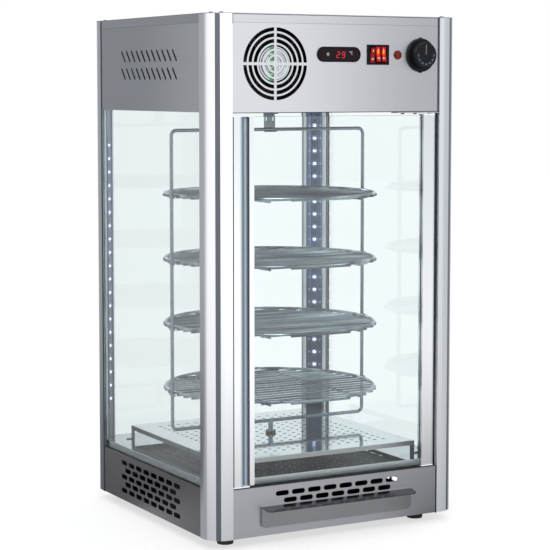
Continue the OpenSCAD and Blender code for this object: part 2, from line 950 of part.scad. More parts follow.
module gasket_pair(clear) {
    span = clear - 2 * fit_gap - 2 * sheet_t - 0.6;
    depth = liner_in - sheet_t;
    difference() {
        union() {
            strip(span, depth, base_top - 0.3 - ledge_top, y = sheet_t, z = ledge_top);
            strip(span, depth, gasket_h, y = sheet_t, z = head_z);
        }
        strip(clear, glass_t, glass_z1 - glass_z0, y = glass_inset, z = glass_z0);
    }
}

module glass_gaskets() {
    color(rubber)
        in_cabinet() {
            at_left() gasket_pair(clear_d);
            at_right() gasket_pair(clear_d);
            at_back() gasket_pair(clear_w);
        }
}

// Base
module base_wall(clear) {
    folded_panel(clear, base_z, base_top, high = base_top - glass_z0 + fit_gap);
    strip(clear - 2 * fit_gap, liner_in + 2.2, ledge_t, z = ledge_top - ledge_t);
}

module base_panel_front() {
    color(steel_dark)
        in_cabinet()
            at_front()
                difference() {
                    union() {
                        folded_panel(clear_w, base_z, base_top);
                        strip(clear_w - 2 * fit_gap, flange_d, sheet_t, z = base_top - sheet_t);
                    }
                    slot_rows(2, 8, base_top - vent_drop, sheet_t + 2);
                    translate([drawer_x, 0, 0])
                        strip(tray_w + 3, sheet_t + 2, tray_z1 - tray_z0 + 3, y = -1,
                              z = tray_z0 - 1.5);
                    translate([pivot_x, pivot_y, base_top - sheet_t - 1])
                        cylinder(d = pivot_d + 3.4, h = sheet_t + 2, $fn = 48);
                }
}

module base_side() {
    difference() {
        base_wall(clear_d);
        slot_rows(5, 8, base_top - vent_drop, sheet_t + 2);
    }
}

module base_panel_left() {
    color(base_grey) in_cabinet() at_left() base_side();
}

module base_panel_right() {
    color(base_grey) in_cabinet() at_right() base_side();
}

// The back panel carries the cable gland near its left end as seen from behind
gland_x = -150;
gland_z = base_z + 34;
gland_thread = gland_bore / 2 + 3.5;

module base_panel_back() {
    color(base_grey)
        in_cabinet()
            at_back()
                difference() {
                    base_wall(clear_w);
                    slot_rows(2, 7, base_top - vent_drop, sheet_t + 2);
                    rod_y(gland_thread + 0.1, sheet_t + 2, x = gland_x, y = -1, z = gland_z);
                }
}

module base_pan() {
    edge_h = 12;
    color(steel_dark)
        in_cabinet()
            difference() {
                translate([0, 0, base_z])
                    linear_extrude(height = edge_h)
                        polygon(liner_outline(sheet_t, sheet_t));
                translate([0, 0, base_z + sheet_t])
                    linear_extrude(height = edge_h)
                        polygon(liner_outline(sheet_t, sheet_t, sheet_t));
                for (sx = [-1, 1], sy = [-1, 1])
                    translate([sx * (body_w / 2 - foot_inset), sy * (body_d / 2 - foot_inset),
                               base_z - 1])
                        cylinder(r = 4.3, h = sheet_t + 2, $fn = 32);
            }
}

// Floor plate with folded edges that stand on the ledges of the base walls
module floor_plate() {
    slot_l = 19;
    color(white)
        in_cabinet() {
            difference() {
                union() {
                    translate([0, 0, floor_top - sheet_t])
                        linear_extrude(height = sheet_t)
                            polygon(liner_outline(liner_in, sill_in));
                    translate([0, 0, base_top])
                        linear_extrude(height = floor_rise)
                            difference() {
                                polygon(liner_outline(liner_in, sill_in));
                                polygon(liner_outline(liner_in, sill_in, sheet_t));
                            }
                    translate([0, 0, ledge_top])
                        linear_extrude(height = base_top - ledge_top + small)
                            intersection() {
                                difference() {
                                    polygon(liner_outline(liner_in, sill_in));
                                    polygon(liner_outline(liner_in, sill_in, sheet_t));
                                }
                                union() {
                                    square([body_w, clear_d - 8], center = true);
                                    translate([0, body_d / 4]) square([clear_w - 8, body_d / 2],
                                                                      center = true);
                                }
                            }
                }
                for (i = [-1 : 1])
                    translate([121, -134 + i * (slot_l + 3.5) - slot_l / 2, floor_top - sheet_t - 1])
                        cube([4.5, slot_l, sheet_t + 2]);
            }
        }
}

// Perforated deck on four corner legs with turned-out feet
module deck() {
    plate_t = 1;
    foot_l = 12;
    leg_w = 12;
    columns = floor((deck_w - 2 * deck_border) / hole_pitch);
    rows = floor((deck_d - 2 * deck_border) / hole_pitch);
    color(white)
        in_cabinet() {
            difference() {
                translate([0, 0, deck_top - deck_lip])
                    strip(deck_w, deck_d, deck_lip, y = -deck_d / 2);
                translate([0, 0, deck_top - deck_lip - 1])
                    strip(deck_w - 2 * plate_t, deck_d - 2 * plate_t, deck_lip + 1 - plate_t,
                          y = -deck_d / 2 + plate_t);
                translate([0, 0, deck_top - 5]) cylinder(r = 7, h = 10, $fn = 48);
                translate([0, 0, deck_top - 3])
                    linear_extrude(height = 6)
                        for (row = [0 : rows], col = [0 : columns])
                            let (
                                x = (col - columns / 2) * hole_pitch,
                                y = (row - rows / 2) * hole_pitch
                            )
                                if (norm([x, y]) > 14)
                                    translate([x, y]) deck_hole();
            }
            for (sx = [-1, 1], sy = [-1, 1])
                translate([sx * deck_w / 2, sy * (deck_d / 2 - leg_w / 2), floor_top]) {
                    translate([sx > 0 ? -plate_t : 0, -leg_w / 2, 0])
                        cube([plate_t, leg_w, deck_rise - 1]);
                    translate([sx > 0 ? -plate_t : plate_t - foot_l, -3, 0])
                        cube([foot_l, 6, 1.5]);
                }
        }
}

module deck_hole() {
    square([hole_l - hole_w, hole_w], center = true);
    for (end = [-1, 1])
        translate([end * (hole_l - hole_w) / 2, 0]) circle(d = hole_w, $fn = 16);
}

// Bronze bush for the lower rack pin, standing on the floor plate through the deck
module bottom_bush() {
    bush_r = rack_pin_d / 2 + 2.2;
    color(bronze)
        in_cabinet()
            difference() {
                union() {
                    translate([0, 0, floor_top])
                        cylinder(r = bush_r, h = deck_rise + 0.5, $fn = 64);
                    translate([0, 0, deck_top]) cylinder(r = 9, h = 3, $fn = 64);
                }
                translate([0, 0, deck_top - 8])
                    cylinder(r = rack_pin_d / 2 + run_gap, h = 20, $fn = 48);
            }
}

// Tubular heater: three runs joined by bends, hung from the floor plate
module heater_element() {
    run_l = clear_w - 142;
    step = 60;
    tube_z = drawer_z1 + 17;
    tube_r = heater_d / 2;
    color(steel_dark)
        in_cabinet() {
            for (i = [-1 : 1])
                translate([0, i * step, 0]) rod_x(tube_r, run_l, z = tube_z, sides = 48);
            translate([run_l / 2, -step / 2, tube_z])
                rotate([0, 0, -90])
                    rotate_extrude(angle = 180, $fn = 96)
                        translate([step / 2, 0]) circle(r = tube_r, $fn = 48);
            translate([-run_l / 2, step / 2, tube_z])
                rotate([0, 0, 90])
                    rotate_extrude(angle = 180, $fn = 96)
                        translate([step / 2, 0]) circle(r = tube_r, $fn = 48);
            for (sx = [-1, 1])
                translate([sx * 80, 0, 0]) {
                    strip(14, 2 * step + 16, 2, y = -step - 8, z = tube_z + tube_r - 0.5);
                    for (sy = [-1, 1])
                        strip(14, 2, floor_top - sheet_t - tube_z - tube_r + 0.5,
                              y = sy * (step + 7) - 1, z = tube_z + tube_r - 0.5);
                }
        }
}

// Drawer
module drawer_tray() {
    color(steel)
        in_cabinet()
            at_front()
                translate([drawer_x, 0, 0])
                    difference() {
                        strip(tray_w, tray_d + fit_gap, tray_z1 - tray_z0, y = -fit_gap, z = tray_z0);
                        strip(tray_w - 2 * tray_t, tray_d - 2 * tray_t, tray_z1 - tray_z0,
                              y = tray_t, z = tray_z0 + tray_t);
                    }
}

// Front plate with rounded lower corners and a sloping pull along its top
module drawer_front() {
    corner_r = 8;
    pull_r = 9;
    pull_t = 1.5;
    pull_l = (pull_reach - drawer_t - fit_gap + 0.5 - pull_t * sin(pull_slope)) / cos(pull_slope);
    color(steel_dark)
        in_cabinet()
            at_front()
                translate([drawer_x, -fit_gap, 0]) {
                    rotate([90, 0, 0])
                        linear_extrude(height = drawer_t) {
                            translate([-drawer_w / 2, drawer_z0 + corner_r])
                                square([drawer_w, drawer_h - corner_r]);
                            translate([-drawer_w / 2 + corner_r, drawer_z0])
                                square([drawer_w - 2 * corner_r, corner_r + 1]);
                            for (end = [-1, 1])
                                translate([end * (drawer_w / 2 - corner_r), drawer_z0 + corner_r])
                                    circle(r = corner_r, $fn = 64);
                        }
                    translate([0, -drawer_t + 0.5, drawer_z1 - pull_t])
                        rotate([pull_slope, 0, 0])
                            linear_extrude(height = pull_t)
                                difference() {
                                    union() {
                                        translate([-drawer_w / 2, -pull_l + pull_r])
                                            square([drawer_w, pull_l - pull_r]);
                                        translate([-drawer_w / 2 + pull_r, -pull_l])
                                            square([drawer_w - 2 * pull_r, pull_r + 1]);
                                        for (end = [-1, 1])
                                            translate([end * (drawer_w / 2 - pull_r),
                                                       -pull_l + pull_r])
                                                circle(r = pull_r, $fn = 64);
                                    }
                                }
                }
}

module drawer_runners() {
    lip_w = 12;
    web_t = 1.5;
    runner_y = 14;
    runner_d = tray_d - 20;
    color(steel_dark)
        in_cabinet()
            at_front()
                for (sx = [-1, 1])
                    translate([drawer_x + sx * (tray_w / 2 + runner_gap), 0, 0]) {
                        translate([sx > 0 ? 0 : -web_t, runner_y, base_z + sheet_t])
                            cube([web_t, runner_d, tray_z0 + 4 - base_z - sheet_t]);
                        translate([sx > 0 ? -lip_w : 0, runner_y, tray_z0 - fit_gap - web_t])
                            cube([lip_w, runner_d, web_t]);
                        translate([sx > 0 ? 0 : -lip_w, runner_y, base_z + sheet_t])
                            cube([lip_w, runner_d, web_t]);
                    }
}

module feet() {
    color(black)
        in_cabinet()
            for (sx = [-1, 1], sy = [-1, 1])
                translate([sx * (body_w / 2 - foot_inset), sy * (body_d / 2 - foot_inset), 0]) {
                    cylinder(d1 = foot_d, d2 = foot_d + 3, h = foot_h, $fn = 64);
                    translate([0, 0, foot_h - 1]) cylinder(r = 4, h = 9, $fn = 32);
                }
}

// Door pivots fixed to the cabinet
module lower_pivot() {
    color(black)
        in_cabinet()
            at_front()
                translate([pivot_x, pivot_y, 0])
                    difference() {
                        union() {
                            translate([0, 0, base_top])
                                cylinder(d = pivot_d + 5.8, h = bush_lift, $fn = 64);
                            translate([0, 0, base_top - 10])
                                cylinder(d = pivot_d + 3, h = 10.5, $fn = 64);
                        }
                        translate([0, 0, base_top - 8.5])
                            cylinder(d = pivot_d + 2 * run_gap, h = 20, $fn = 48);
                    }
}

module upper_pivot() {
    plate_d = flange_d - 2;
    plate_x1 = clear_w / 2 - 0.6;
    color(steel)
        in_cabinet()
            at_front()
                difference() {
                    translate([plate_x1 - pivot_plate_w, 1.5, head_z - plate_t])
                        cube([pivot_plate_w, plate_d, plate_t]);
                    translate([pivot_x, pivot_y, head_z - plate_t - 1])
                        cylinder(d = pivot_d + 2 * run_gap, h = plate_t + 2, $fn = 48);
                    for (x = plate_holes)
                        translate([x, pivot_y + 2, head_z - plate_t - 1])
                            cylinder(r = 1.9, h = plate_t + 2, $fn = 32);
                }
}

// LED channels in the two rear posts; the local X axis runs along the chamfer
module at_chamfer(side) {
    at_corner(side, 1)
        translate([corner_sum / 2, corner_sum / 2, 0])
            rotate([0, 0, -45])
                children();
}

module led_channels() {
    web = 0.8;
    color(steel)
        in_cabinet()
            for (side = [-1, 1])
                at_chamfer(side)
                    difference() {
                        strip(led_channel_w - 0.2, led_channel_d - 0.1, head_z - floor_top - 1,
                              y = -led_channel_d + 0.1, z = floor_top + 0.5);
                        strip(led_channel_w - 0.2 - 2 * web, led_channel_d, head_z - floor_top + 2,
                              y = -led_channel_d + 0.1 + web, z = floor_top - 1);
                    }
}

module led_strips() {
    tape_w = 10;
    tape_t = 0.5;
    chip = 5;
    chip_h = 1.1;
    seat_y = -led_channel_d + 0.9;
    color(white)
        in_cabinet()
            for (side = [-1, 1])
                let (top = head_z - (side < 0 ? led_drop_left : led_drop_right))
                    at_chamfer(side) {
                        strip(tape_w, tape_t, led_count * led_pitch, y = seat_y,
                              z = top - (led_count - 0.5) * led_pitch);
                        for (i = [0 : led_count - 1])
                            strip(chip, chip_h, chip, y = seat_y,
                                  z = top - i * led_pitch - chip / 2);
                    }
}

// Door
module door_glass() {
    bite = 7;
    color(glass_tint)
        in_cabinet()
            at_front()
                translate([channel_x + channel_w - bite, pane_y, pane_z0])
                    cube([stile_x0 + bite - channel_x - channel_w + bite, door_glass_t,
                          pane_z1 - pane_z0]);
}

// Extruded handle profile with a finger recess and a channel for the glass
module handle_stile() {
    recess_x = handle_x + handle_w - 2.5 - recess_w / 2;
    recess_r = recess_w / 2;
    channel_wall = 2;
    color(aluminium)
        in_cabinet()
            at_front()
                translate([0, 0, pane_z0])
                    linear_extrude(height = pane_z1 - pane_z0)
                        difference() {
                            union() {
                                translate([handle_x, 0]) square([handle_w, door_t]);
                                translate([channel_x - 1, pane_y - channel_wall])
                                    square([channel_w + 1, door_glass_t + 2 * channel_wall]);
                            }
                            translate([recess_x - recess_r, -1])
                                square([recess_w, recess_d - recess_r + 1]);
                            translate([recess_x, recess_d - recess_r])
                                circle(r = recess_r, $fn = 64);
                            translate([channel_x + channel_w - 7.2, pane_y - 0.1])
                                square([8, door_glass_t + 0.2]);
                            translate([channel_x - 0.8, -1]) square([0.8, 3]);
                        }
}

// Stile on the hinge side, rounded where it turns past the post
module hinge_stile() {
    nose_r = 5;
    color(aluminium)
        in_cabinet()
            at_front()
                difference() {
                    translate([0, 0, pane_z0])
                        linear_extrude(height = pane_z1 - pane_z0)
                            difference() {
                                stile_section(nose_r);
                                translate([stile_x0 - 1, pane_y - 0.1])
                                    square([8.2, door_glass_t + 0.2]);
                            }
                    for (z = [pane_z0 - 1, pane_z1 - 12])
                        translate([pivot_x, pivot_y, z])
                            cylinder(d = pivot_d + 0.04, h = 13, $fn = 48);
                }
}

module stile_section(nose_r) {
    translate([stile_x0, 0]) square([stile_w - nose_r, door_t]);
    translate([stile_x0, nose_r]) square([stile_w, door_t - 2 * nose_r]);
    for (y = [nose_r, door_t - nose_r])
        translate([stile_x1 - nose_r, y]) circle(r = nose_r, $fn = 64);
}

// End caps of both stiles; the caps on the hinge side carry the pivot pins
module door_caps() {
    color(white)
        in_cabinet()
            at_front() {
                for (z = [door_z0, pane_z1])
                    translate([0, 0, z])
                        linear_extrude(height = cap_t) {
                            translate([handle_x, 0]) square([handle_w, door_t]);
                            stile_section(5);
                        }
                translate([pivot_x, pivot_y, base_top - 8])
                    cylinder(d = pivot_d, h = pane_z0 + 10 - base_top + 8, $fn = 48);
                translate([pivot_x, pivot_y, pane_z1 - 10])
                    cylinder(d = pivot_d, h = head_z + 0.8 - pane_z1 + 10, $fn = 48);
            }
}

// Turning rack
module rack_frame() {
    rod_r = rack_rod_d / 2;
    upright = rack_z1 - rack_z0 - 2 * rack_bend;
    bar = rack_w - 2 * rack_bend;
    color(wire)
        in_cabinet() {
            for (sx = [-1, 1]) {
                translate([sx * rack_x, 0, rack_z0 + rack_bend])
                    cylinder(r = rod_r, h = upright, $fn = 32);
                for (z = shelf_z)
                    translate([sx * rack_x, -9, z - grid_wire_d - 0.2])
                        rod_y(grid_wire_d / 2, 18, sides = 24);
            }
            for (z = [rack_z0, rack_z1])
                rod_x(rod_r, bar, z = z);
            for (corner = [[1, 1, 0], [-1, 1, 90], [-1, -1, 180], [1, -1, 270]])
                translate([corner[0] * bar / 2, 0,
                           corner[1] > 0 ? rack_z1 - rack_bend : rack_z0 + rack_bend])
                    rotate([90, -corner[2], 0])
                        rotate_extrude(angle = 90, $fn = 64)
                            translate([rack_bend, 0]) circle(r = rod_r, $fn = 32);
            translate([0, 0, deck_top - 7]) cylinder(d = rack_pin_d, h = rack_low + 7, $fn = 48);
            translate([0, 0, deck_top + 3.3]) cylinder(r = 8, h = 2.4, $fn = 48);
        }
}

// Sheet bracket between the drive shaft and the top bar, hooked under the bar
module hanger_bracket() {
    plate_t = hanger_t;
    rod_r = rack_rod_d / 2;
    low_z = rack_z1 - rod_r - plate_t;
    reach = drive_d / 2 + 5;
    color(steel)
        in_cabinet()
            difference() {
                union() {
                    strip(hanger_w, plate_t, hanger_top - low_z, y = rod_r, z = low_z);
                    strip(hanger_w, reach + rod_r + plate_t, plate_t, y = -reach,
                          z = hanger_top - plate_t);
                    strip(hanger_w, 2 * rod_r + plate_t, plate_t, y = -rod_r, z = low_z);
                }
                translate([0, 0, hanger_top - plate_t - 1])
                    cylinder(d = drive_d, h = plate_t + 2, $fn = 48);
                for (x = [-6.5, 6.5])
                    translate([x - 1.2, 0, hanger_top - 13]) cube([2.4, 10, 6]);
            }
}

// Wire shelf: a ring, grid wires across its underside with their ends past it, two cross wires
// below them and a hook at each rod
module shelf(z) {
    ring_t = ring_wire_d / 2;
    wire_r = grid_wire_d / 2;
    lines = floor((ring_r - 4) / grid_pitch + 0.5);
    end_r = shelf_d / 2 + 1.5;
    grid_z = 1.2 - ring_t - wire_r;
    hook_reach = rack_x + 3.5;
    color(wire)
        in_cabinet()
            translate([0, 0, z]) {
                rotate_extrude($fn = 96) translate([ring_r, 0]) circle(r = ring_t, $fn = 24);
                for (i = [-lines : lines - 1])
                    let (y = (i + 0.5) * grid_pitch)
                    let (half = min(sqrt(end_r * end_r - y * y), sqrt(ring_r * ring_r - y * y) + 10))
                        rod_x(wire_r, 2 * half, y = y, z = grid_z,
                              sides = 24);
                for (sx = [-1, 1])
                    let (half = sqrt(ring_r * ring_r - cross_wire_x * cross_wire_x))
                        rod_y(wire_r, 2 * half + 3, x = sx * cross_wire_x, y = -half - 1.5,
                              z = grid_z - 2 * wire_r + 1.1, sides = 24);
                for (sx = [-1, 1])
                    translate([sx * (hook_reach + ring_r - 2) / 2, 0, 0])
                        rod_x(wire_r, hook_reach - ring_r + 2, y = -sx * hook_y, sides = 24);
            }
}

module shelf_1() {
    shelf(shelf_z[0]);
}

module shelf_2() {
    shelf(shelf_z[1]);
}

module shelf_3() {
    shelf(shelf_z[2]);
}

module shelf_4() {
    shelf(shelf_z[3]);
}

// Cable gland with its lock nut behind the panel
module cable_gland() {
    color(black)
        in_cabinet()
            at_back()
                difference() {
                    union() {
                        rod_y(gland_thread, 16, x = gland_x, y = -1, z = gland_z);
                        rod_y(gland_thread + 3.5, 5, x = gland_x, y = -5, z = gland_z, sides = 6);
                        rod_y(gland_thread + 1.5, gland_reach - 4, x = gland_x, y = -gland_reach,
                              z = gland_z);
                        rod_y(gland_thread + 3.5, 4, x = gland_x, y = sheet_t, z = gland_z,
                              sides = 6);
                    }
                    rod_y(gland_bore / 2, gland_reach + 20, x = gland_x, y = -gland_reach - 1,
                          z = gland_z);
                }
}

post_front_left();
post_front_right();
post_back_left();
post_back_right();
post_trims();
lid();
fasteners();
control_fascia();
head_panel_left();
head_panel_right();
head_panel_back();
ceiling_panel();
fan_housing();
fan_rotor();
display_module();
display_window();
switch_housing();
rocker_left();
rocker_middle();
rocker_right();
pilot_lamp();
thermostat_body();
knob_shaft();
knob();
rack_motor();
drive_shaft();
led_driver();
terminal_block();
glass_left();
glass_right();
glass_back();
glass_gaskets();
base_panel_front();
base_panel_left();
base_panel_right();
base_panel_back();
base_pan();
floor_plate();
deck();
bottom_bush();
heater_element();
drawer_tray();
drawer_front();
drawer_runners();
feet();
lower_pivot();
upper_pivot();
led_channels();
led_strips();
door_glass();
handle_stile();
hinge_stile();
door_caps();
rack_frame();
hanger_bracket();
shelf_1();
shelf_2();
shelf_3();
shelf_4();
cable_gland();
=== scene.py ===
"""Looks of a counter-top heated pizza display case, dressed round its solids."""
import math

import bmesh
import bpy
from mathutils import Matrix, Vector


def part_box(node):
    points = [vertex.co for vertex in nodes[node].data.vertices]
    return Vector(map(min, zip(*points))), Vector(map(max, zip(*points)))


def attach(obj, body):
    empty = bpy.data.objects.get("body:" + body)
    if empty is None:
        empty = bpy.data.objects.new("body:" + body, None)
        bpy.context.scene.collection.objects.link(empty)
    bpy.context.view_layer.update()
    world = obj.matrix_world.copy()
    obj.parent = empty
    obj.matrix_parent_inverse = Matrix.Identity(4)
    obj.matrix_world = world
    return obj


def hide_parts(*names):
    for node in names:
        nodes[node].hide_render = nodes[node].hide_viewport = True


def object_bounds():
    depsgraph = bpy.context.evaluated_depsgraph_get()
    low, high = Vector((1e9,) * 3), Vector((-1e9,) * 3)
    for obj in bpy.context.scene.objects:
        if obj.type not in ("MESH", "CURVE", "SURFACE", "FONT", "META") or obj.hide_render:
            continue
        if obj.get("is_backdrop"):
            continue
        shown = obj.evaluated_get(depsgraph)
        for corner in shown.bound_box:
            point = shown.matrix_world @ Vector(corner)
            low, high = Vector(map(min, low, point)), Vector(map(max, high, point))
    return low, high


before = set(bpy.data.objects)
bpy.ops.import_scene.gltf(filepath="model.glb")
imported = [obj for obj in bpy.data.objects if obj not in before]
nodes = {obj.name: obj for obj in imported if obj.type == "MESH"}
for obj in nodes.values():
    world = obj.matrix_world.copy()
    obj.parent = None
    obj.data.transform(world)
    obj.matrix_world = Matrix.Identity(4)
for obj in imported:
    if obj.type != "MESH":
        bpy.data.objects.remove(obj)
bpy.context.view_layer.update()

MM = 0.001

# Levels and places of the case, in millimetres, as its solids have them
MID_Y = 6.5
BODY_W = 457.0
BODY_D = 454.0
SIDE = BODY_W / 2
FRONT = -BODY_D / 2 + MID_Y
BACK = BODY_D / 2 + MID_Y
POST_W = 37.4
POST_SEAT = 9.5
CHAMFER = (POST_W + POST_SEAT) / 2
INNER_X = SIDE - POST_W
BASE_TOP = 95.5
FLOOR_TOP = 108.0
DECK_TOP = 131.0
HEAD_Z = 684.5
LID_TOP = 837.0
CONTROL_Z = HEAD_Z + 90.5
FAN_X = -115.6
FAN_Z = HEAD_Z + 75.0
DISPLAY_X = -1.0
SWITCH_X = 72.0
ROCKER_PITCH = 10.4
PIVOT_Y = FRONT + 4.0
KNOB_X = 153.0
KNOB_H = 18.0
HANDLE_X = -190.1
DECK_W = 358.0
DECK_D = 352.0
LED_PITCH = 23.47
LED_COUNT = 20
# The first LED of each strip lies this far under the head
LED_DROP_LEFT = 62.0
LED_DROP_RIGHT = 32.0
# Lower and upper ends of the painted shadow strips in the gaps between posts and panels
JOINT_LOW = 16.0
JOINT_HIGH = LID_TOP - 1.0

# Stretch of a noise that draws the faint lines of an extrusion, and their colour
DIE_LINES = (700, 700, 1.5)
DIE_DARK = (0.1, 0.11, 0.13, 1.0)
# Stretch of a noise that draws the grain of sheet steel
SHEET_GRAIN = (4, 4, 500)
# Heights between which an extrusion goes from its lower to its upper colour, painted light and
# shade that changes with height
LOW_TO_HIGH = (50, 800)
# Places between which the steel of the control panel and lid goes from its left to its right
# colour, painted shade that deepens to the right
LEFT_TO_RIGHT = (-120, 190)
BLACK = (0.0, 0.0, 0.0, 1.0)
WHITE = (1.0, 1.0, 1.0, 1.0)
SKY = (0.985, 0.99, 1.0, 1.0)


def mm(*values):
    """A point in millimetres as a vector in metres."""
    return Vector([v * MM for v in values])


def linear(code):
    """A colour written as in a picture, such as "d9dade", as linear red, green and blue."""
    out = []
    for i in (0, 2, 4):
        c = int(code[i:i + 2], 16) / 255
        out.append(c / 12.92 if c <= 0.04045 else ((c + 0.055) / 1.055) ** 2.4)
    return tuple(out) + (1.0,)


def shade(color, share):
    """A linear colour made darker, or lighter where share is above 1."""
    return tuple(c * share for c in color[:3]) + (1.0,)


# Materials
class Nodes:
    """Short calls for the nodes of one tree."""

    def __init__(self, tree):
        tree.nodes.clear()
        self.tree = tree

    def add(self, kind, values=None, **settings):
        """A node; values go to its inputs, by name or number, as links or as plain values."""
        node = self.tree.nodes.new(kind)
        for key, value in settings.items():
            setattr(node, key, value)
        for key, value in (values or {}).items():
            if isinstance(value, bpy.types.NodeSocket):
                self.tree.links.new(value, node.inputs[key])
            else:
                node.inputs[key].default_value = value
        return node

    def math(self, operation, *values):
        """The result of a sum, on links or plain numbers."""
        return self.add("ShaderNodeMath", dict(enumerate(values)), operation=operation).outputs[0]

    def vector(self, operation, *values):
        """The result of a vector sum: a number for a dot product or a length."""
        node = self.add("ShaderNodeVectorMath", dict(enumerate(values)), operation=operation)
        return node.outputs["Value" if operation in ("DOT_PRODUCT", "LENGTH") else "Vector"]

    def span(self, source, low, high, start=0.0, end=1.0, smooth=False):
        """source, from start to end, carried to low to high."""
        values = {"Value": source, "From Min": start, "From Max": end,
                  "To Min": low, "To Max": high}
        kind = "SMOOTHSTEP" if smooth else "LINEAR"
        return self.add("ShaderNodeMapRange", values, interpolation_type=kind).outputs["Result"]

    def blend(self, factor, a, b):
        """Shader a where factor is 0, b where it is 1."""
        return self.add("ShaderNodeMixShader", {0: factor, 1: a, 2: b}).outputs[0]


class Graph(Nodes):
    """The nodes of a new material, with the object's own coordinates at hand."""

    def __init__(self, name):
        self.mat = bpy.data.materials.new(name)
        self.mat.use_nodes = True
        super().__init__(self.mat.node_tree)
        self.place = self.add("ShaderNodeTexCoord").outputs["Object"]
        self.x, self.y, self.z = self.add("ShaderNodeSeparateXYZ", {0: self.place}).outputs

    def noise(self, scale, detail, stretch=(1, 1, 1)):
        """Noise from 0 to 1 over the object's own coordinates."""
        mapping = self.add("ShaderNodeMapping", {"Vector": self.place, "Scale": stretch})
        values = {"Vector": mapping.outputs["Vector"], "Scale": scale, "Detail": detail,
                  "Roughness": 0.55}
        return self.add("ShaderNodeTexNoise", values).outputs["Fac"]

    def fade(self, source, start_mm, end_mm, low=0.0, high=1.0, smooth=True):
        """low where source is at start_mm, high where it is at end_mm, even between them."""
        return self.span(source, low, high, start_mm * MM, end_mm * MM, smooth)

    def above(self, source, level_mm):
        """1 where source is more than a level in millimetres, else 0."""
        return self.math("GREATER_THAN", source, level_mm * MM)

    def below(self, source, level_mm):
        """1 where source is less than a level in millimetres, else 0."""
        return self.math("LESS_THAN", source, level_mm * MM)

    def every(self, first, *others):
        """The product of masks: 1 where each of them is 1."""
        for other in others:
            first = self.math("MULTIPLY", first, other)
        return first

    def hypot(self, a, b):
        """The long side of a right triangle with the sides a and b."""
        squares = self.math("ADD", self.math("MULTIPLY", a, a), self.math("MULTIPLY", b, b))
        return self.math("SQRT", squares)

    def mix(self, factor, a, b):
        """Colour a where factor is 0, b where it is 1."""
        node = self.add("ShaderNodeMix", {"Factor": factor, 6: a, 7: b}, data_type="RGBA")
        return node.outputs[2]

    def roughness(self, fine, low, high, coarse, less, more):
        """Roughness from low to high with a fine mask, moved from less to more by a coarse one."""
        return self.math("ADD", self.span(fine, low, high), self.span(coarse, less, more))

    def bump(self, height, strength, distance):
        """Normals of a surface whose height follows a mask."""
        values = {"Height": height, "Strength": strength, "Distance": distance}
        return self.add("ShaderNodeBump", values).outputs["Normal"]

    def emission(self, color, strength):
        """A surface that only shines."""
        values = {"Color": color, "Strength": strength}
        return self.add("ShaderNodeEmission", values).outputs[0]

    def principled(self, values, color, rough=None, normal=None):
        """The main shader; values are its other inputs, by name."""
        values = {"Base Color": color, "Roughness": rough, "Normal": normal, **values}
        given = {key: value for key, value in values.items() if value is not None}
        return self.add("ShaderNodeBsdfPrincipled", given).outputs[0]

    def done(self, shader):
        """The finished material."""
        self.add("ShaderNodeOutputMaterial", {"Surface": shader})
        return self.mat


def brushed(name, code, rough, fade=None, right=None):
    """Sheet steel with a fine grain.

    fade gives a second colour of painted light and shade, the axis along which it comes in and
    where on it, in millimetres.
    right is the lid's third colour, painted shade towards the right end of the case; its top is
    painted darker, a painted dark reflection.
    """
    g = Graph(name)
    grain = g.noise(1.0, 4.0, SHEET_GRAIN)
    cloud = g.noise(7.0, 2.0)

    def grained(colour):
        """A colour, darker and lighter along the grain."""
        return g.mix(grain, shade(linear(colour), 0.93), shade(linear(colour), 1.06))

    tone = grained(code)
    # Painted light and shade: the second colour comes in along an axis
    if fade:
        other, source, start, end = fade
        tone = g.mix(g.fade(getattr(g, source), start, end), tone, grained(other))
    # Painted shade towards the lid's right end, and a painted dark reflection along its top
    if right:
        tone = g.mix(g.fade(g.x, *LEFT_TO_RIGHT), tone, grained(right))
        tone = g.mix(g.above(g.z, LID_TOP - 1.05), tone, linear("8f9196"))
    color = g.mix(g.span(cloud, 0.0, 0.25), tone, shade(linear(code), 0.82))
    roughness = g.roughness(grain, rough - 0.05, rough + 0.05, cloud, -0.03, 0.04)
    return g.done(g.principled({"Metallic": 1.0, "Anisotropic": 0.35}, color, roughness,
                               g.bump(grain, 0.06, 0.0002)))


def anodised(name, code, low_code, rough, flank=None, inner=None, low_metal=1.0):
    """Extruded aluminium with faint die lines; low_code is the colour of the lower end, painted
    light and shade that changes with height.

    flank is the painted shade on the left flank low down, inner the painted shade on the two halves
    of the slanting side that holds the LEDs, darker close to the deck; low_metal how metallic the
    lower end looks.
    """
    g = Graph(name)
    lines = g.noise(1.0, 3.0, DIE_LINES)
    cloud = g.noise(5.0, 2.0)
    # Painted light and shade that changes with height
    base = g.mix(g.fade(g.z, *LOW_TO_HIGH), linear(low_code), linear(code))
    # Painted shade on the left flank, low down
    if flank:
        low_left = g.every(g.below(g.x, 1.0 - SIDE), g.fade(g.z, 80, 500, 1.0, 0.0))
        base = g.mix(low_left, base, linear(flank))
    # Painted shade on the faces that turn inwards, darker still close to the deck
    if inner:
        out_x = g.math("ABSOLUTE", g.x)
        turned = g.every(g.below(out_x, SIDE - 12.5), g.below(g.y, BACK - 12.5))
        side = g.mix(g.fade(led_across(g), -4, 4, smooth=False), linear(inner[0]),
                     linear(inner[1]))
        base = g.mix(turned, base, g.mix(low_shade(g), side, linear("4c5a63")))
    color = g.mix(g.span(lines, 0.0, 0.098), base, DIE_DARK)
    roughness = g.roughness(lines, rough - 0.04, rough + 0.05, cloud, -0.02, 0.03)
    metal = g.fade(g.z, 120, 450, low_metal, 1.0)
    return g.done(g.principled({"Metallic": metal}, color, roughness,
                               g.bump(lines, 0.05, 0.0002)))


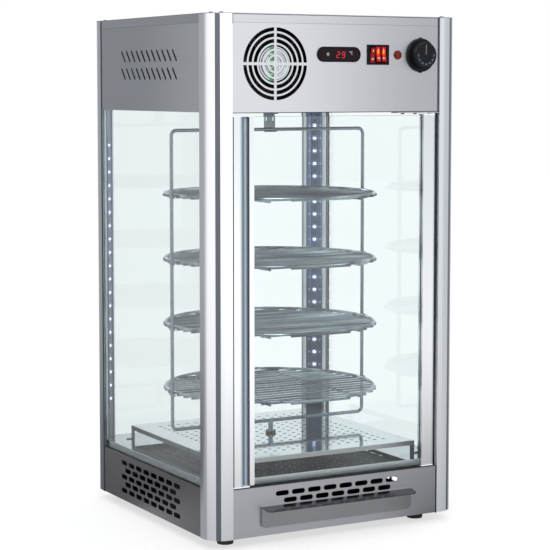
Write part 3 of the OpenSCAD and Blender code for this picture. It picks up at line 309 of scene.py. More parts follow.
def door_metal(name, code, low_code):
    """Door extrusions, painted lighter low down; the handle's finger recess and the edge beside it
    are painted blue-grey shade, with a painted highlight line in it.
    """
    g = Graph(name)
    lines = g.noise(1.0, 3.0, DIE_LINES)
    across = g.math("SUBTRACT", g.x, HANDLE_X * MM)
    # Painted light and shade that changes with height, lighter low down
    base = g.mix(g.fade(g.z, *LOW_TO_HIGH), linear(low_code), linear(code))
    base = g.mix(g.span(lines, 0.0, 0.12), base, DIE_DARK)
    # Painted shade on the edge beside the finger recess
    edge = g.every(g.fade(across, 11.4, 16.0, smooth=False), g.below(across, 15.7))
    base = g.mix(edge, base, linear("8592a0"))
    # Painted shade in the finger recess, with a painted highlight line and a paler strip near its
    # right side; less metal there lets the painted colours show
    recess = g.every(g.fade(g.y, FRONT + 0.4, FRONT + 2.0), g.above(across, 15.3),
                     g.below(across, 25.9))
    tone = g.mix(g.fade(across, 23.6, 24.2, smooth=False), linear("6f7c88"), linear("d4dfe8"))
    tone = g.mix(g.fade(across, 25.1, 25.5, smooth=False), tone, linear("b8c6d4"))
    color = g.mix(recess, base, tone)
    metal = g.span(g.math("MAXIMUM", recess, edge), 1.0, 0.25)
    return g.done(g.principled({"Metallic": metal}, color, g.span(lines, 0.22, 0.30),
                               g.bump(lines, 0.05, 0.0002)))


def plated(name, code, rough):
    """Plated metal: bright with small dull spots."""
    g = Graph(name)
    spots = g.noise(220.0, 3.0)
    cloud = g.noise(18.0, 3.0)
    base = linear(code)
    color = g.mix(g.span(spots, 0.0, 1.0, 0.45, 0.75), base, shade(base, 0.6))
    roughness = g.roughness(spots, rough - 0.04, rough + 0.08, cloud, -0.04, 0.05)
    return g.done(g.principled({"Metallic": 1.0}, color, roughness, g.bump(spots, 0.08, 0.0002)))


def shelf_wire(name, dark, light):
    """Plated shelf wire with painted reflection, duller and brighter from wire to wire."""
    g = Graph(name)
    spots = g.noise(220.0, 3.0)
    tone = g.noise(1.0, 2.0, (4, 47, 30))
    # Painted reflection: darker and brighter from wire to wire
    color = g.mix(g.span(tone, 0.0, 1.0, 0.36, 0.64), linear(dark), linear(light))
    return g.done(g.principled({"Metallic": 1.0}, color, g.span(spots, 0.16, 0.28),
                               g.bump(spots, 0.08, 0.0002)))


def moulded(name, code, rough, grain, depth, values=None):
    """Moulded plastic or rubber with a fine surface grain."""
    g = Graph(name)
    fine = g.noise(grain, 2.0)
    cloud = g.noise(14.0, 3.0)
    base = linear(code)
    color = g.mix(cloud, shade(base, 0.85), shade(base, 1.15))
    roughness = g.roughness(fine, rough - 0.06, rough + 0.06, cloud, -0.04, 0.04)
    return g.done(g.principled(values or {}, color, roughness, g.bump(fine, depth, 0.0003)))


def glowing(name, code, strength, core):
    """A lit lens or print; core is another colour in patches of it."""
    g = Graph(name)
    color = g.mix(g.noise(500.0, 2.0), linear(code), linear(core))
    return g.done(g.principled({"Roughness": 0.35, "Emission Strength": strength,
                                "Emission Color": color}, color))


def print_ink(name, code):
    """Printed ink, a little uneven."""
    g = Graph(name)
    base = linear(code)
    color = g.mix(g.span(g.noise(900.0, 2.0), 0.0, 0.5), base, shade(base, 0.8))
    return g.done(g.principled({"Roughness": 0.5}, color))


def pane_glass():
    """Clear glass with a faint blue-green tint; lamps shine through it."""
    g = Graph("pane_glass")
    tint = g.mix(g.noise(3.0, 4.0), (0.915, 0.962, 0.966, 1.0), (0.935, 0.975, 0.978, 1.0))
    glass = g.principled({"Roughness": 0.0, "IOR": 1.46, "Transmission Weight": 1.0,
                          "Specular IOR Level": 0.12}, tint)
    through = g.add("ShaderNodeBsdfTransparent", {"Color": (0.95, 0.98, 0.985, 1.0)})
    rays = g.add("ShaderNodeLightPath")
    return g.done(g.blend(rays.outputs["Is Shadow Ray"], glass, through.outputs[0]))


def rocker_plastic(name, x_mm, lit):
    """Clear red plastic of a rocker; a lit one glows orange and yellow above its middle, an unlit
    one has a faint painted glow of its own red.
    """
    g = Graph(name)
    cloud = g.noise(260.0, 2.0)
    out = g.math("SUBTRACT", g.x, x_mm * MM)
    if lit:
        up = g.math("DIVIDE", g.math("SUBTRACT", g.z, (CONTROL_Z + 4.2) * MM), 2.0)
        away = g.hypot(up, out)
        color = g.mix(g.fade(away, 0.8, 4.2, 1.0, 0.0), linear("8c0e0a"), linear("ee3a10"))
        color = g.mix(g.fade(away, 0.0, 1.6, 1.0, 0.0), color, linear("ffc41e"))
    else:
        color = g.mix(cloud, linear("6e0c0a"), linear("92130e"))
    color = g.mix(g.span(cloud, 0.0, 0.35), color, linear("4a0806"))
    color = g.mix(g.fade(g.math("ABSOLUTE", out), 3.0, 4.2), color, linear("1c0404"))
    # An unlit rocker shines faintly too: a painted glow
    return g.done(g.principled({"Roughness": 0.3, "Specular IOR Level": 0.12,
                                "Emission Strength": 0.95 if lit else 0.4,
                                "Emission Color": color}, color))


def led_across(g):
    """Distance across an LED channel from its middle, growing towards the back pane."""
    spread = g.math("SUBTRACT", g.y, g.math("ABSOLUTE", g.x))
    return g.math("MULTIPLY", g.math("ADD", spread, (SIDE - BACK) * MM), math.sqrt(0.5))


def led_glow(g, wide_mm, high_mm, centre_mm=0.0):
    """Light spilt in a soft ellipse round each LED, or at centre_mm to both sides of it."""
    on_right = g.math("GREATER_THAN", g.x, 0.0)
    first = g.span(on_right, (HEAD_Z - LED_DROP_LEFT) * MM, (HEAD_Z - LED_DROP_RIGHT) * MM)
    steps = g.math("DIVIDE", g.math("SUBTRACT", first, g.z), LED_PITCH * MM)
    up = g.math("ABSOLUTE", g.math("SUBTRACT", g.math("FRACT", g.math("ADD", steps, 0.5)), 0.5))
    up = g.math("MULTIPLY", up, LED_PITCH / high_mm)
    out = g.math("SUBTRACT", g.math("ABSOLUTE", led_across(g)), centre_mm * MM)
    out = g.math("DIVIDE", out, wide_mm * MM)
    near = g.span(g.hypot(up, out), 1.0, 0.0, smooth=True)
    begun = g.math("GREATER_THAN", steps, -0.4)
    ended = g.math("LESS_THAN", steps, LED_COUNT - 0.6)
    return g.every(near, begun, ended)


def low_shade(g):
    """0 high up, 1 close to the deck."""
    return g.fade(g.z, 260, 440, 1.0, 0.0)


def led_metal(name, code):
    """LED channel: ribbed dark metal, its ribs painted as light and dark lines, with painted shade
    near the deck and a painted glint to each side of an LED.
    """
    g = Graph(name)
    ribs = g.noise(1.0, 2.0, (420, 420, 1))
    base = linear(code)
    # Painted highlight and shade along the ribs, and painted shade close to the deck
    color = g.mix(g.span(ribs, 0.0, 1.0, 0.35, 0.65), shade(base, 0.55), shade(base, 1.5))
    color = g.mix(low_shade(g), color, shade(base, 0.4))
    # Painted glints to each side of an LED, shone by emission
    glow = g.mix(led_glow(g, 2.4, 2.2, 10.4), BLACK, (0.40, 0.45, 0.80, 1.0))
    return g.done(g.principled({"Metallic": 1.0, "Emission Strength": 1.0,
                                "Emission Color": glow}, color, g.span(ribs, 0.25, 0.36),
                               g.bump(ribs, 0.2, 0.0004)))


def led_tape(name, code):
    """LED tape: dark blue-grey lacquer with painted shade near the deck, and a painted pale blue
    glow close to each LED.
    """
    g = Graph(name)
    fine = g.noise(420.0, 2.0, (1, 1, 0.02))
    base = linear(code)
    color = g.mix(fine, shade(base, 0.6), shade(base, 1.4))
    # Painted shade close to the deck, and a painted glow round each LED
    color = g.mix(low_shade(g), color, shade(base, 0.45))
    glow = g.mix(led_glow(g, 8.0, 6.4), BLACK, (0.42, 0.48, 0.90, 1.0))
    return g.done(g.principled({"Emission Strength": 1.0, "Emission Color": glow}, color,
                               g.span(fine, 0.35, 0.5)))


def deck_steel(name, code, under, lip, flank):
    """Bright perforated deck, its underside painted near-black as shade and rougher, with a satin
    folded edge.

    lip is the colour of the fold's outside at the front and back, flank the painted shade on it at
    the sides, under the painted shade on the underside.
    """
    g = Graph(name)
    marks = g.noise(6.0, 4.0, (1, 5, 1))
    base = linear(code)
    out_x = g.math("ABSOLUTE", g.x)
    out_y = g.math("ABSOLUTE", g.math("SUBTRACT", g.y, MID_Y * MM))
    # Painted shade: the underside near-black, the fold dark at the sides
    below = g.every(g.below(g.z, DECK_TOP - 0.15), g.below(out_x, DECK_W / 2 - 1.4),
                    g.below(out_y, DECK_D / 2 - 1.4))
    fold = g.below(g.z, DECK_TOP - 0.4)
    front = g.every(fold, g.above(out_y, DECK_D / 2 - 0.4))
    side = g.every(fold, g.above(out_x, DECK_W / 2 - 0.4))
    color = g.mix(marks, shade(base, 0.93), base)
    for mask, colour in ((front, lip), (side, flank), (below, under)):
        color = g.mix(mask, color, linear(colour))
    dull = g.math("MAXIMUM", below, g.math("MAXIMUM", front, side))
    roughness = g.roughness(marks, 0.06, 0.11, dull, 0.0, 0.3)
    return g.done(g.principled({"Metallic": 1.0}, color, roughness, g.bump(marks, 0.01, 0.0003)))


def floor_steel(name, code, fold, flank):
    """Mirror-bright floor plate; its folded edges are satin, with painted shade on those at the
    sides.
    """
    g = Graph(name)
    marks = g.noise(6.0, 5.0, (1, 6, 1))
    base = linear(code)
    folded = g.below(g.z, FLOOR_TOP - 0.8)
    # Painted shade on the folded edges at the sides
    at_side = g.above(g.math("ABSOLUTE", g.x), 203.0)
    color = g.mix(folded, g.mix(marks, shade(base, 0.92), base),
                  g.mix(at_side, linear(fold), linear(flank)))
    roughness = g.roughness(marks, 0.02, 0.05, folded, 0.0, 0.4)
    return g.done(g.principled({"Metallic": 1.0}, color, roughness, g.bump(marks, 0.02, 0.0005)))


M = {
    # Painted shade low down on the left flank
    "post": anodised("post_aluminium", "e6e8eb", "e6e9ec", 0.28, flank="bcbfc4"),
    # The right front post: the post's aluminium with painted shade, darker all over
    "post_right": anodised("shaded_right_post_aluminium", "cdd1d6", "d0d3d7", 0.28, low_metal=0.4),
    # Painted shade: darker low down, and on the inner faces that hold the LEDs
    "rear_post": anodised("rear_post_aluminium", "d4dadf", "ccd2d6", 0.3,
                          inner=("9caab0", "5c6d78")),
    # Painted light: the door extrusions lighter low down; painted shade and a painted highlight in
    # the handle's recess
    "stile": door_metal("door_aluminium", "ccd0d4", "f4f6f8"),
    # Painted shade: the lid darker on its left end and towards its right end, with a painted dark
    # reflection along its top
    "lid": brushed("lid_steel", "b1b6bc", 0.34, ("c0c1c5", "x", -227.6, -227.0), "a0a1a5"),
    # Painted shade, darker towards the right end
    "fascia": brushed("fascia_steel", "c2c3c7", 0.34, ("9d9ea2", "x", *LEFT_TO_RIGHT)),
    # Painted light, lighter towards the front
    "side": brushed("side_steel", "acb1b8", 0.36, ("c7cbd1", "y", 60, -200)),
    # Painted shade, darker towards the front
    "base": brushed("base_steel", "a5a4a9", 0.38, ("716f75", "y", 150, -200)),
    # Painted shade, darker towards the right
    "base_front": brushed("base_front_steel", "b9babf", 0.36, ("adaeb3", "x", -190, 190)),
    # Painted shadow and dark reflection on the drawer's front face under its lip; lighter further
    # back
    "drawer": brushed("drawer_steel", "55545a", 0.22,
                      ("a3a4a8", "y", FRONT - 5.2, FRONT - 4.2)),
    "inner": brushed("inner_steel", "a4a6aa", 0.40),
    # Painted shade on the folds at the sides
    "mirror": floor_steel("floor_plate_steel", "b0b8bd", "b4b5b7", "5d676b"),
    # Painted shade: near-black underside, dark folds at the sides
    "deck": deck_steel("deck_steel", "d2dade", "0b0c0e", "a09fa0", "4a5359"),
    # Painted shade: the insides of the base, seen through its vents, made dark as if unlit
    "pan": brushed("shaded_pan_steel", "4a4b4f", 0.45),
    "wire": plated("plated_wire", "818e95", 0.2),
    # Painted reflection, darker and brighter from wire to wire
    "shelf_wire": shelf_wire("shelf_wire", "4f5c64", "a9b5ba"),
    "bracket": plated("bracket_steel", "7d878c", 0.3),
    "plated": plated("plated_part", "a4a8ac", 0.22),
    "screw": plated("dark_screw", "2c2e32", 0.4),
    "trim": moulded("trim_plastic", "4b505b", 0.35, 600.0, 0.05, {"Coat Weight": 0.3}),
    "black": moulded("black_plastic", "0e0e12", 0.42, 1400.0, 0.1,
                     {"Specular IOR Level": 0.15}),
    "fan": moulded("fan_plastic", "09090c", 0.5, 1400.0, 0.1, {"Specular IOR Level": 0.1}),
    "bezel": moulded("bezel_plastic", "0b0a0e", 0.25, 500.0, 0.03,
                     {"Specular IOR Level": 0.1}),
    "lens": moulded("display_lens", "1d0f14", 0.12, 60.0, 0.0, {"Specular IOR Level": 0.1}),
    "lamp": moulded("lamp_lens", "5e1c14", 0.15, 200.0, 0.03,
                    {"Specular IOR Level": 0.15, "Emission Color": (0.5, 0.05, 0.02, 1.0),
                     "Emission Strength": 0.07}),
    "white": moulded("white_plastic", "e6e8ea", 0.45, 900.0, 0.05),
    "rubber": moulded("rubber_seal", "2a2c30", 0.6, 900.0, 0.15),
    # Black of the door seals, and of the painted shadow strips in the gaps
    "seal": moulded("door_seal_and_gap_shadow", "1b1a1e", 0.55, 900.0, 0.1),
    "foot": moulded("foot_rubber", "232326", 0.7, 700.0, 0.25),
    "bronze": plated("bronze_bush", "584538", 0.35),
    "heater": plated("heater_steel", "55555a", 0.45),
    # Painted glow round each LED and painted shade near the deck
    "tape": led_tape("led_tape", "54627a"),
    # Painted glints beside each LED, painted rib lines and painted shade near the deck
    "channel": led_metal("led_channel", "6a7b94"),
    "glass": pane_glass(),
    "glass_edge": moulded("glass_edge", "4f7a7c", 0.12, 200.0, 0.02,
                          {"Transmission Weight": 0.35}),
    # The unlit rocker has a faint painted glow
    "rocker_left": rocker_plastic("rocker_left_red", SWITCH_X - ROCKER_PITCH, False),
    "rocker_middle": rocker_plastic("rocker_middle_red", SWITCH_X, True),
    "rocker_right": rocker_plastic("rocker_right_red", SWITCH_X + ROCKER_PITCH, True),
    "digits": glowing("digit_red", "d0222a", 0.62, "a00c18"),
    "pale_print": print_ink("pale_print", "9fb0bd"),
    "dial_print": print_ink("dial_print", "66798c"),
    "white_print": print_ink("white_print", "f0dcd8"),
    "green_print": print_ink("green_print", "1c9450"),
    "grey_print": print_ink("grey_print", "5f6668"),
    "label": brushed("label_foil", "b9c0c2", 0.35),
    "led": glowing("led_lens", "dde4ff", 2.2, "f0f4ff"),
}

PAINT = {
    "post": ["post_front_left"],
    "post_right": ["post_front_right"],
    "rear_post": ["post_back_left", "post_back_right"],
    "stile": ["handle_stile", "hinge_stile"],
    "lid": ["lid"],
    "fascia": ["control_fascia"],
    "side": ["head_panel_left", "head_panel_right", "head_panel_back"],
    "base": ["base_panel_left", "base_panel_right", "base_panel_back"],
    "base_front": ["base_panel_front"],
    "drawer": ["drawer_front"],
    "inner": ["ceiling_panel", "rack_motor", "thermostat_body"],
    "pan": ["base_pan", "drawer_tray", "drawer_runners"],
    "mirror": ["floor_plate"],
    "deck": ["deck"],
    "wire": ["rack_frame"],
    "shelf_wire": ["shelf_1", "shelf_2", "shelf_3", "shelf_4"],
    "screw": ["fasteners"],
    "plated": ["knob_shaft", "drive_shaft", "upper_pivot"],
    "bracket": ["hanger_bracket"],
    "trim": ["post_trims"],
    "black": ["knob", "lower_pivot", "cable_gland"],
    "fan": ["fan_housing", "fan_rotor"],
    "bezel": ["display_module", "switch_housing"],
    "lens": ["display_window"],
    "rocker_left": ["rocker_left"],
    "rocker_middle": ["rocker_middle"],
    "rocker_right": ["rocker_right"],
    "lamp": ["pilot_lamp"],
    "white": ["led_driver", "terminal_block", "door_caps"],
    "rubber": ["glass_gaskets"],
    "foot": ["feet"],
    "bronze": ["bottom_bush"],
    "heater": ["heater_element"],
    "tape": ["led_strips"],
    "channel": ["led_channels"],
    "glass": ["glass_left", "glass_right", "glass_back", "door_glass"],
}
for key, names in PAINT.items():
    for node_name in names:
        data = nodes[node_name].data
        data.materials.clear()
        data.materials.append(M[key])


# Pieces
def link_to_scene(obj):
    """Put a new object in the scene and hand it back."""
    bpy.context.scene.collection.objects.link(obj)
    return obj


def add_mesh(name, bm, materials, body, smooth=False):
    """Turn a bmesh into a piece that rides on a body and takes its finish from a slot."""
    mesh = bpy.data.meshes.new(name)
    bmesh.ops.recalc_face_normals(bm, faces=bm.faces)
    bm.to_mesh(mesh)
    bm.free()
    for m in materials:
        mesh.materials.append(M[m])
    for polygon in mesh.polygons:
        polygon.use_smooth = smooth
    piece = link_to_scene(bpy.data.objects.new(name, mesh))
    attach(piece, body)
    return piece


def add_box(bm, low, high, bevel=0.0):
    """A box between two corners in millimetres, its edges rounded by bevel."""
    low, high = mm(*low), mm(*high)
    verts = bmesh.ops.create_cube(bm, size=1.0)["verts"]
    centre, size = (low + high) / 2, high - low
    for v in verts:
        v.co = Vector([centre[i] + v.co[i] * size[i] for i in range(3)])
    if bevel:
        edges = list({e for v in verts for e in v.link_edges})
        bmesh.ops.bevel(bm, geom=edges, offset=bevel * MM, segments=2, profile=0.7,
                        affect="EDGES")


def add_plate(bm, outline, y, depth):
    """A flat plate in the XZ plane, its outline in millimetres, depth thick along Y."""
    low = [bm.verts.new(mm(x, y, z)) for x, z in outline]
    high = [bm.verts.new(mm(x, y + depth, z)) for x, z in outline]
    bm.faces.new(low)
    bm.faces.new(list(reversed(high)))
    for i in range(len(outline)):
        j = (i + 1) % len(outline)
        bm.faces.new((low[i], high[i], high[j], low[j]))


def circle(x, z, radius, segments):
    """Points of a circle in the XZ plane."""
    turns = [2 * math.pi * i / segments for i in range(segments)]
    return [(x + radius * math.cos(a), z + radius * math.sin(a)) for a in turns]


def add_ring(bm, centre, radius, inner, depth, segments):
    """A flat ring that faces the front, depth thick along Y from its centre."""
    x, y, z = centre
    loops = [[bm.verts.new(mm(px, py, pz)) for px, pz in circle(x, z, r, segments)]
             for r, py in ((radius, y), (inner, y), (inner, y + depth), (radius, y + depth))]
    for k, loop in enumerate(loops):
        after = loops[(k + 1) % len(loops)]
        for i in range(segments):
            j = (i + 1) % segments
            bm.faces.new((loop[i], loop[j], after[j], after[i]))


def box_mm(node_name):
    """A node's lowest and highest corners at rest, in millimetres."""
    return [[v / MM for v in corner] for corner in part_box(node_name)]


def pane(name, node_name, body, thin):
    """A glass pane in place of its solid, with coloured, slightly rounded edges.

    thin is the axis across the pane, 0 for X and 1 for Y.
    """
    low, high = box_mm(node_name)
    bm = bmesh.new()
    add_box(bm, low, high, 0.4)
    bm.normal_update()
    for face in bm.faces:
        face.material_index = 0 if abs(face.normal[thin]) > 0.99 else 1
    piece = add_mesh(name, bm, ["glass", "glass_edge"], body)
    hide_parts(node_name)


pane("pane_left", "glass_left", "cabinet", 0)
pane("pane_right", "glass_right", "cabinet", 0)
pane("pane_back", "glass_back", "cabinet", 1)
pane("pane_door", "door_glass", "door", 1)


def seal(name, body, *strips):
    """Black strips, for rubber seals and for painted shadow in gaps; each strip has two corners and
    the rounding of its edges.
    """
    bm = bmesh.new()
    for low, high, bevel in strips:
        add_box(bm, low, high, bevel)
    add_mesh(name, bm, ["seal"], body)


# Seals of the door: along the glass at the bottom, down the free edge of the handle
# and down the lip between its finger recess and the glass channel
glass_low, glass_high = box_mm("door_glass")
seal("door_strip_low", "door",
     *[((glass_low[0] + 7.5, y0, glass_low[2] - 0.4),
        (glass_high[0] - 7.5, y1, glass_low[2] + 0.6), 0.2)
       for y0, y1 in ((glass_low[1] - 1.4, glass_low[1] - 0.05),
                      (glass_high[1] + 0.05, glass_high[1] + 1.4))])
stile_low, stile_high = box_mm("handle_stile")
stile_low_z, stile_high_z = stile_low[2] + 0.5, stile_high[2] - 0.5
seal("door_seals", "door",
     *[((HANDLE_X + x0, FRONT + y0, stile_low_z), (HANDLE_X + x1, FRONT + y1, stile_high_z), 0.1)
       for x0, x1, y0, y1 in ((-0.7, 1.3, -0.3, 0.1), (-0.7, -0.05, 0.05, 12.0),
                              (26.05, 28.55, -0.2, 0.1))])

# Painted shadow, as black strips: at the right front post, on the lid's front skirt and down the
# sides, where the panels meet the rear posts
side_gap_shadows = []
for side in (-1, 1):
    low_x, high_x = sorted((side * (SIDE + 0.15), side * (SIDE - 0.1)))
    side_gap_shadows.append(((low_x, BACK - POST_W - 4.6, JOINT_LOW),
                        (high_x, BACK - POST_W, JOINT_HIGH), 0.05))
seal("gap_shadow_strips", "cabinet",
     ((INNER_X - 2.6, FRONT - 0.15, JOINT_LOW), (INNER_X, FRONT + 0.1, BASE_TOP), 0.05),
     ((INNER_X - 4.0, FRONT - 0.15, HEAD_Z), (INNER_X - 0.9, FRONT + 0.1, JOINT_HIGH), 0.05),
     *side_gap_shadows,
     ((-INNER_X, FRONT - 0.15, JOINT_HIGH - 15.5), (1.6 - INNER_X, FRONT + 0.1, JOINT_HIGH), 0.05),
     ((-INNER_X, FRONT - 0.12, JOINT_HIGH - 0.9), (INNER_X, FRONT + 0.1, JOINT_HIGH - 0.1), 0.0))

# Seals round the doorway: on the hinge post's inner face, under the fascia and at the threshold
seal("hinge_side_seal", "cabinet",
     ((INNER_X - 0.4, FRONT + 6.5, BASE_TOP + 1.0),
      (INNER_X + 0.05, FRONT + 13.5, HEAD_Z - 1.0), 0.1))
seal("fascia_seal", "cabinet",
     ((1.0 - INNER_X, FRONT + 0.4, HEAD_Z - 1.3),
      (INNER_X - 1.0, FRONT + 2.4, HEAD_Z - 0.1), 0.1))
seal("threshold_seal", "cabinet",
     ((1.0 - INNER_X, FRONT + 0.4, BASE_TOP - 0.1),
      (INNER_X - 1.0, FRONT + 12.5, BASE_TOP + 1.6), 0.2))

# Display: two seven-segment figures, a heat mark and a degree mark just before the window
SEGMENTS = {2: "abged", 9: "abcdfg"}
FIGURE_W, FIGURE_H = 5.0, 9.0
FIGURE_BAR = 1.0
FIGURE_LEAN = 0.08
FIGURE_Z = CONTROL_Z - 0.6
HEAT_X = DISPLAY_X - 20.5
HEAT_RAYS = 6
DEGREE_X, DEGREE_Z = DISPLAY_X + 20.0, CONTROL_Z + 4.2
BOW_X, BOW_Z = DISPLAY_X + 23.6, CONTROL_Z + 2.6
BOW_STEPS = 12
PRINT_T = 0.1
display_y = box_mm("display_window")[0][1] - 0.12


def seven_segment(bm, number, x, z):
    """A figure of the display, round x and z."""
    wide, high = FIGURE_W / 2, FIGURE_H / 2
    ends = {
        "a": ((-wide, high), (wide, high)),
        "g": ((-wide, 0), (wide, 0)),
        "d": ((-wide, -high), (wide, -high)),
        "f": ((-wide, high), (-wide, 0)),
        "b": ((wide, high), (wide, 0)),
        "e": ((-wide, 0), (-wide, -high)),
        "c": ((wide, 0), (wide, -high)),
    }
    for key in SEGMENTS[number]:
        start, end = Vector(ends[key][0]), Vector(ends[key][1])
        along = (end - start).normalized() * FIGURE_BAR
        side = Vector((-along.y, along.x)) / 2
        a, b = start + along * 0.6, end - along * 0.6
        points = [a - along * 0.45, a - side, b - side, b + along * 0.45, b + side, a + side]
        outline = [(x + p.x + p.y * FIGURE_LEAN, z + p.y) for p in points]
        add_plate(bm, outline, display_y, PRINT_T)


figures = bmesh.new()
seven_segment(figures, 2, DISPLAY_X - 1.8, FIGURE_Z)
seven_segment(figures, 9, DISPLAY_X + 7.8, FIGURE_Z)
add_mesh("display_figures", figures, ["digits"], "cabinet")

marks = bmesh.new()
for k in range(HEAT_RAYS):
    a = 2 * math.pi * k / HEAT_RAYS
    out, side = Vector((math.cos(a), math.sin(a))), Vector((-math.sin(a), math.cos(a))) * 0.45
    ray = [out * 0.7 - side, out * 3.1 - side, out * 3.1 + side, out * 0.7 + side]
    add_plate(marks, [(HEAT_X + p.x, CONTROL_Z + p.y) for p in ray], display_y, PRINT_T)
add_plate(marks, circle(HEAT_X, CONTROL_Z, 1.0, 24), display_y, PRINT_T)
add_ring(marks, (DEGREE_X, display_y, DEGREE_Z), 1.1, 0.55, PRINT_T, 24)
bow = []
for k in range(BOW_STEPS + 1):
    a = math.radians(50 + 260 * k / BOW_STEPS)
    bow.append((2.1 * math.cos(a), 2.6 * math.sin(a)))
inside = [(p * 0.62, q * 0.7) for p, q in reversed(bow)]
add_plate(marks, [(BOW_X + p, BOW_Z + q) for p, q in bow + inside], display_y, PRINT_T)
add_mesh("display_marks", marks, ["pale_print"], "cabinet")

# Marks on the three rockers, a bar above and a ring below, in each rocker's own tilt
ROCKER_TILT = 7.0
for name, x, tilt in (("rocker_left", SWITCH_X - ROCKER_PITCH, ROCKER_TILT),
                      ("rocker_middle", SWITCH_X, -ROCKER_TILT),
                      ("rocker_right", SWITCH_X + ROCKER_PITCH, -ROCKER_TILT)):
    bm = bmesh.new()
    add_box(bm, (-0.5, -6.22, 5.2), (0.5, -5.9, 9.0))
    add_ring(bm, (0.0, -6.1, -6.4), 2.0, 1.3, 0.3, 28)
    turn = Matrix.Translation(mm(x, PIVOT_Y, CONTROL_Z)) @ Matrix.Rotation(
        math.radians(tilt), 4, "X")
    bmesh.ops.transform(bm, matrix=turn, verts=bm.verts)
    add_mesh(name + "_marks", bm, ["white_print"], name)

# Knob: pointer line, dots and the numbers of the dial on its face
DIAL_START = -88
DIAL_STEP = 29.3
DIAL_NUMBERS = range(30, 100, 10)
DOTS_R = 17.5
NUMBERS_R = 14.9
FACE_Y = FRONT - KNOB_H


def on_dial(step, radius):
    """The angle of a step of the dial, and its x and z at a radius."""
    angle = math.radians(DIAL_START + step * DIAL_STEP)
    return angle, KNOB_X + radius * math.sin(angle), CONTROL_Z - radius * math.cos(angle)


dial = bmesh.new()
add_box(dial, (KNOB_X - 0.6, FACE_Y - 0.08, CONTROL_Z + 0.5),
        (KNOB_X + 0.6, FACE_Y + 0.1, CONTROL_Z + 16.2))
for k in range(len(DIAL_NUMBERS) - 1):
    _, x, z = on_dial(k + 0.5, DOTS_R)
    add_plate(dial, circle(x, z, 0.45, 12), FACE_Y - 0.08, PRINT_T)
add_mesh("knob_pointer", dial, ["dial_print"], "knob")
for k, number in enumerate(DIAL_NUMBERS):
    angle, x, z = on_dial(k, NUMBERS_R)
    text = bpy.data.curves.new(f"dial_{number}", "FONT")
    text.body = str(number)
    text.size = 4.4 * MM
    text.align_x = "CENTER"
    text.align_y = "CENTER"
    text.extrude = 0.05 * MM
    text.materials.append(M["dial_print"])
    figure = link_to_scene(bpy.data.objects.new(f"dial_number_{number}", text))
    figure.matrix_world = (Matrix.Translation(mm(x, FACE_Y - 0.04, z))
                           @ Matrix.Rotation(math.pi / 2, 4, "X")
                           @ Matrix.Rotation(angle, 4, "Z"))
    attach(figure, "knob")

# Label on the fan's motor cover: foil disc with plain green blocks and grey rings
FOIL_R = 27.0
FOIL_T = 0.15
BLOCK_T = 0.07
RING_RADII = (25.0, 17.5, 8.0)
RING_W = 0.9
RING_T = 0.05
LABEL_BLOCKS = ((-6.0, 21.5, 6.5, 9.0), (-6.5, 9.0, 8.0, 8.0), (-6.0, -1.0, 5.5, 6.5),
                (-6.5, -11.0, 6.5, 8.0), (-6.0, -22.0, 6.5, 9.0), (-20.0, 2.0, 5.0, 7.0))
foil_y = FRONT + 2.2 - FOIL_T
foil = bmesh.new()
add_plate(foil, circle(FAN_X, FAN_Z, FOIL_R, 72), foil_y, FOIL_T)
add_mesh("fan_label", foil, ["label"], "cabinet")
ink = bmesh.new()
for x, z, wide, high in LABEL_BLOCKS:
    add_box(ink, (FAN_X + x - wide / 2, foil_y - BLOCK_T, FAN_Z + z - high / 2),
            (FAN_X + x + wide / 2, foil_y, FAN_Z + z + high / 2))
add_mesh("fan_label_print", ink, ["green_print"], "cabinet")
ink = bmesh.new()
for radius in RING_RADII:
    add_ring(ink, (FAN_X, foil_y - RING_T, FAN_Z), radius, radius - RING_W, RING_T, 72)
add_mesh("fan_label_rings", ink, ["grey_print"], "cabinet")

# LED lenses on the two strips, and a dark resistor between each pair
LENS_R = 2.0
LENS_FLATTER = 0.55
LENS_WIDER = 0.35
RESISTOR_W, RESISTOR_D, RESISTOR_H = 3.2, 0.8, 1.8
for side, drop, tag in ((-1, LED_DROP_LEFT, "left"), (1, LED_DROP_RIGHT, "right")):
    lenses, parts = bmesh.new(), bmesh.new()
    inward = Vector((-side, -1, 0)).normalized()
    across = Vector((-side, 1, 0)).normalized()
    tape = Vector((side * (SIDE - CHAMFER), BACK - CHAMFER, 0)) - inward * 0.5
    for i in range(LED_COUNT):
        at = tape + Vector((0, 0, HEAD_Z - drop - i * LED_PITCH))
        made = bmesh.ops.create_uvsphere(lenses, u_segments=16, v_segments=8,
                                         radius=LENS_R * MM)
        for v in made["verts"]:
            p = v.co.copy()
            v.co = (at * MM + p - inward * inward.dot(p) * LENS_FLATTER
                    + across * across.dot(p) * LENS_WIDER)
        if i < LED_COUNT - 1:
            low = at + Vector((0, 0, -LED_PITCH / 2)) - inward
            for v in bmesh.ops.create_cube(parts, size=1.0)["verts"]:
                c = v.co.copy()
                v.co = (low + across * c.x * RESISTOR_W + inward * c.y * RESISTOR_D
                        + Vector((0, 0, c.z * RESISTOR_H))) * MM
    add_mesh(f"led_lenses_{tag}", lenses, ["led"], "cabinet", smooth=True)
    add_mesh(f"led_resistors_{tag}", parts, ["black"], "cabinet")


# Floor, light and camera
SWEEP_TOWARDS = (-0.643, -0.766, 0)
FLOOR_HALF = 9.0


def level_direction(g, vector):
    """The direction of a vector over the floor, without its height."""
    return g.vector("NORMALIZE", g.vector("MULTIPLY", vector, (1, 1, 0)))


def patch(g, direction, middle, start, end, peak=1.0):
    """0 away from a middle direction, and softly up to peak close to it."""
    return g.span(g.vector("DOT_PRODUCT", direction, middle), 0.0, peak, start, end, smooth=True)


def sweep(g, vector):
    """1 for directions to the front and left, where the white sweep of the studio stands."""
    return patch(g, level_direction(g, vector), SWEEP_TOWARDS, 0.14, 0.47)


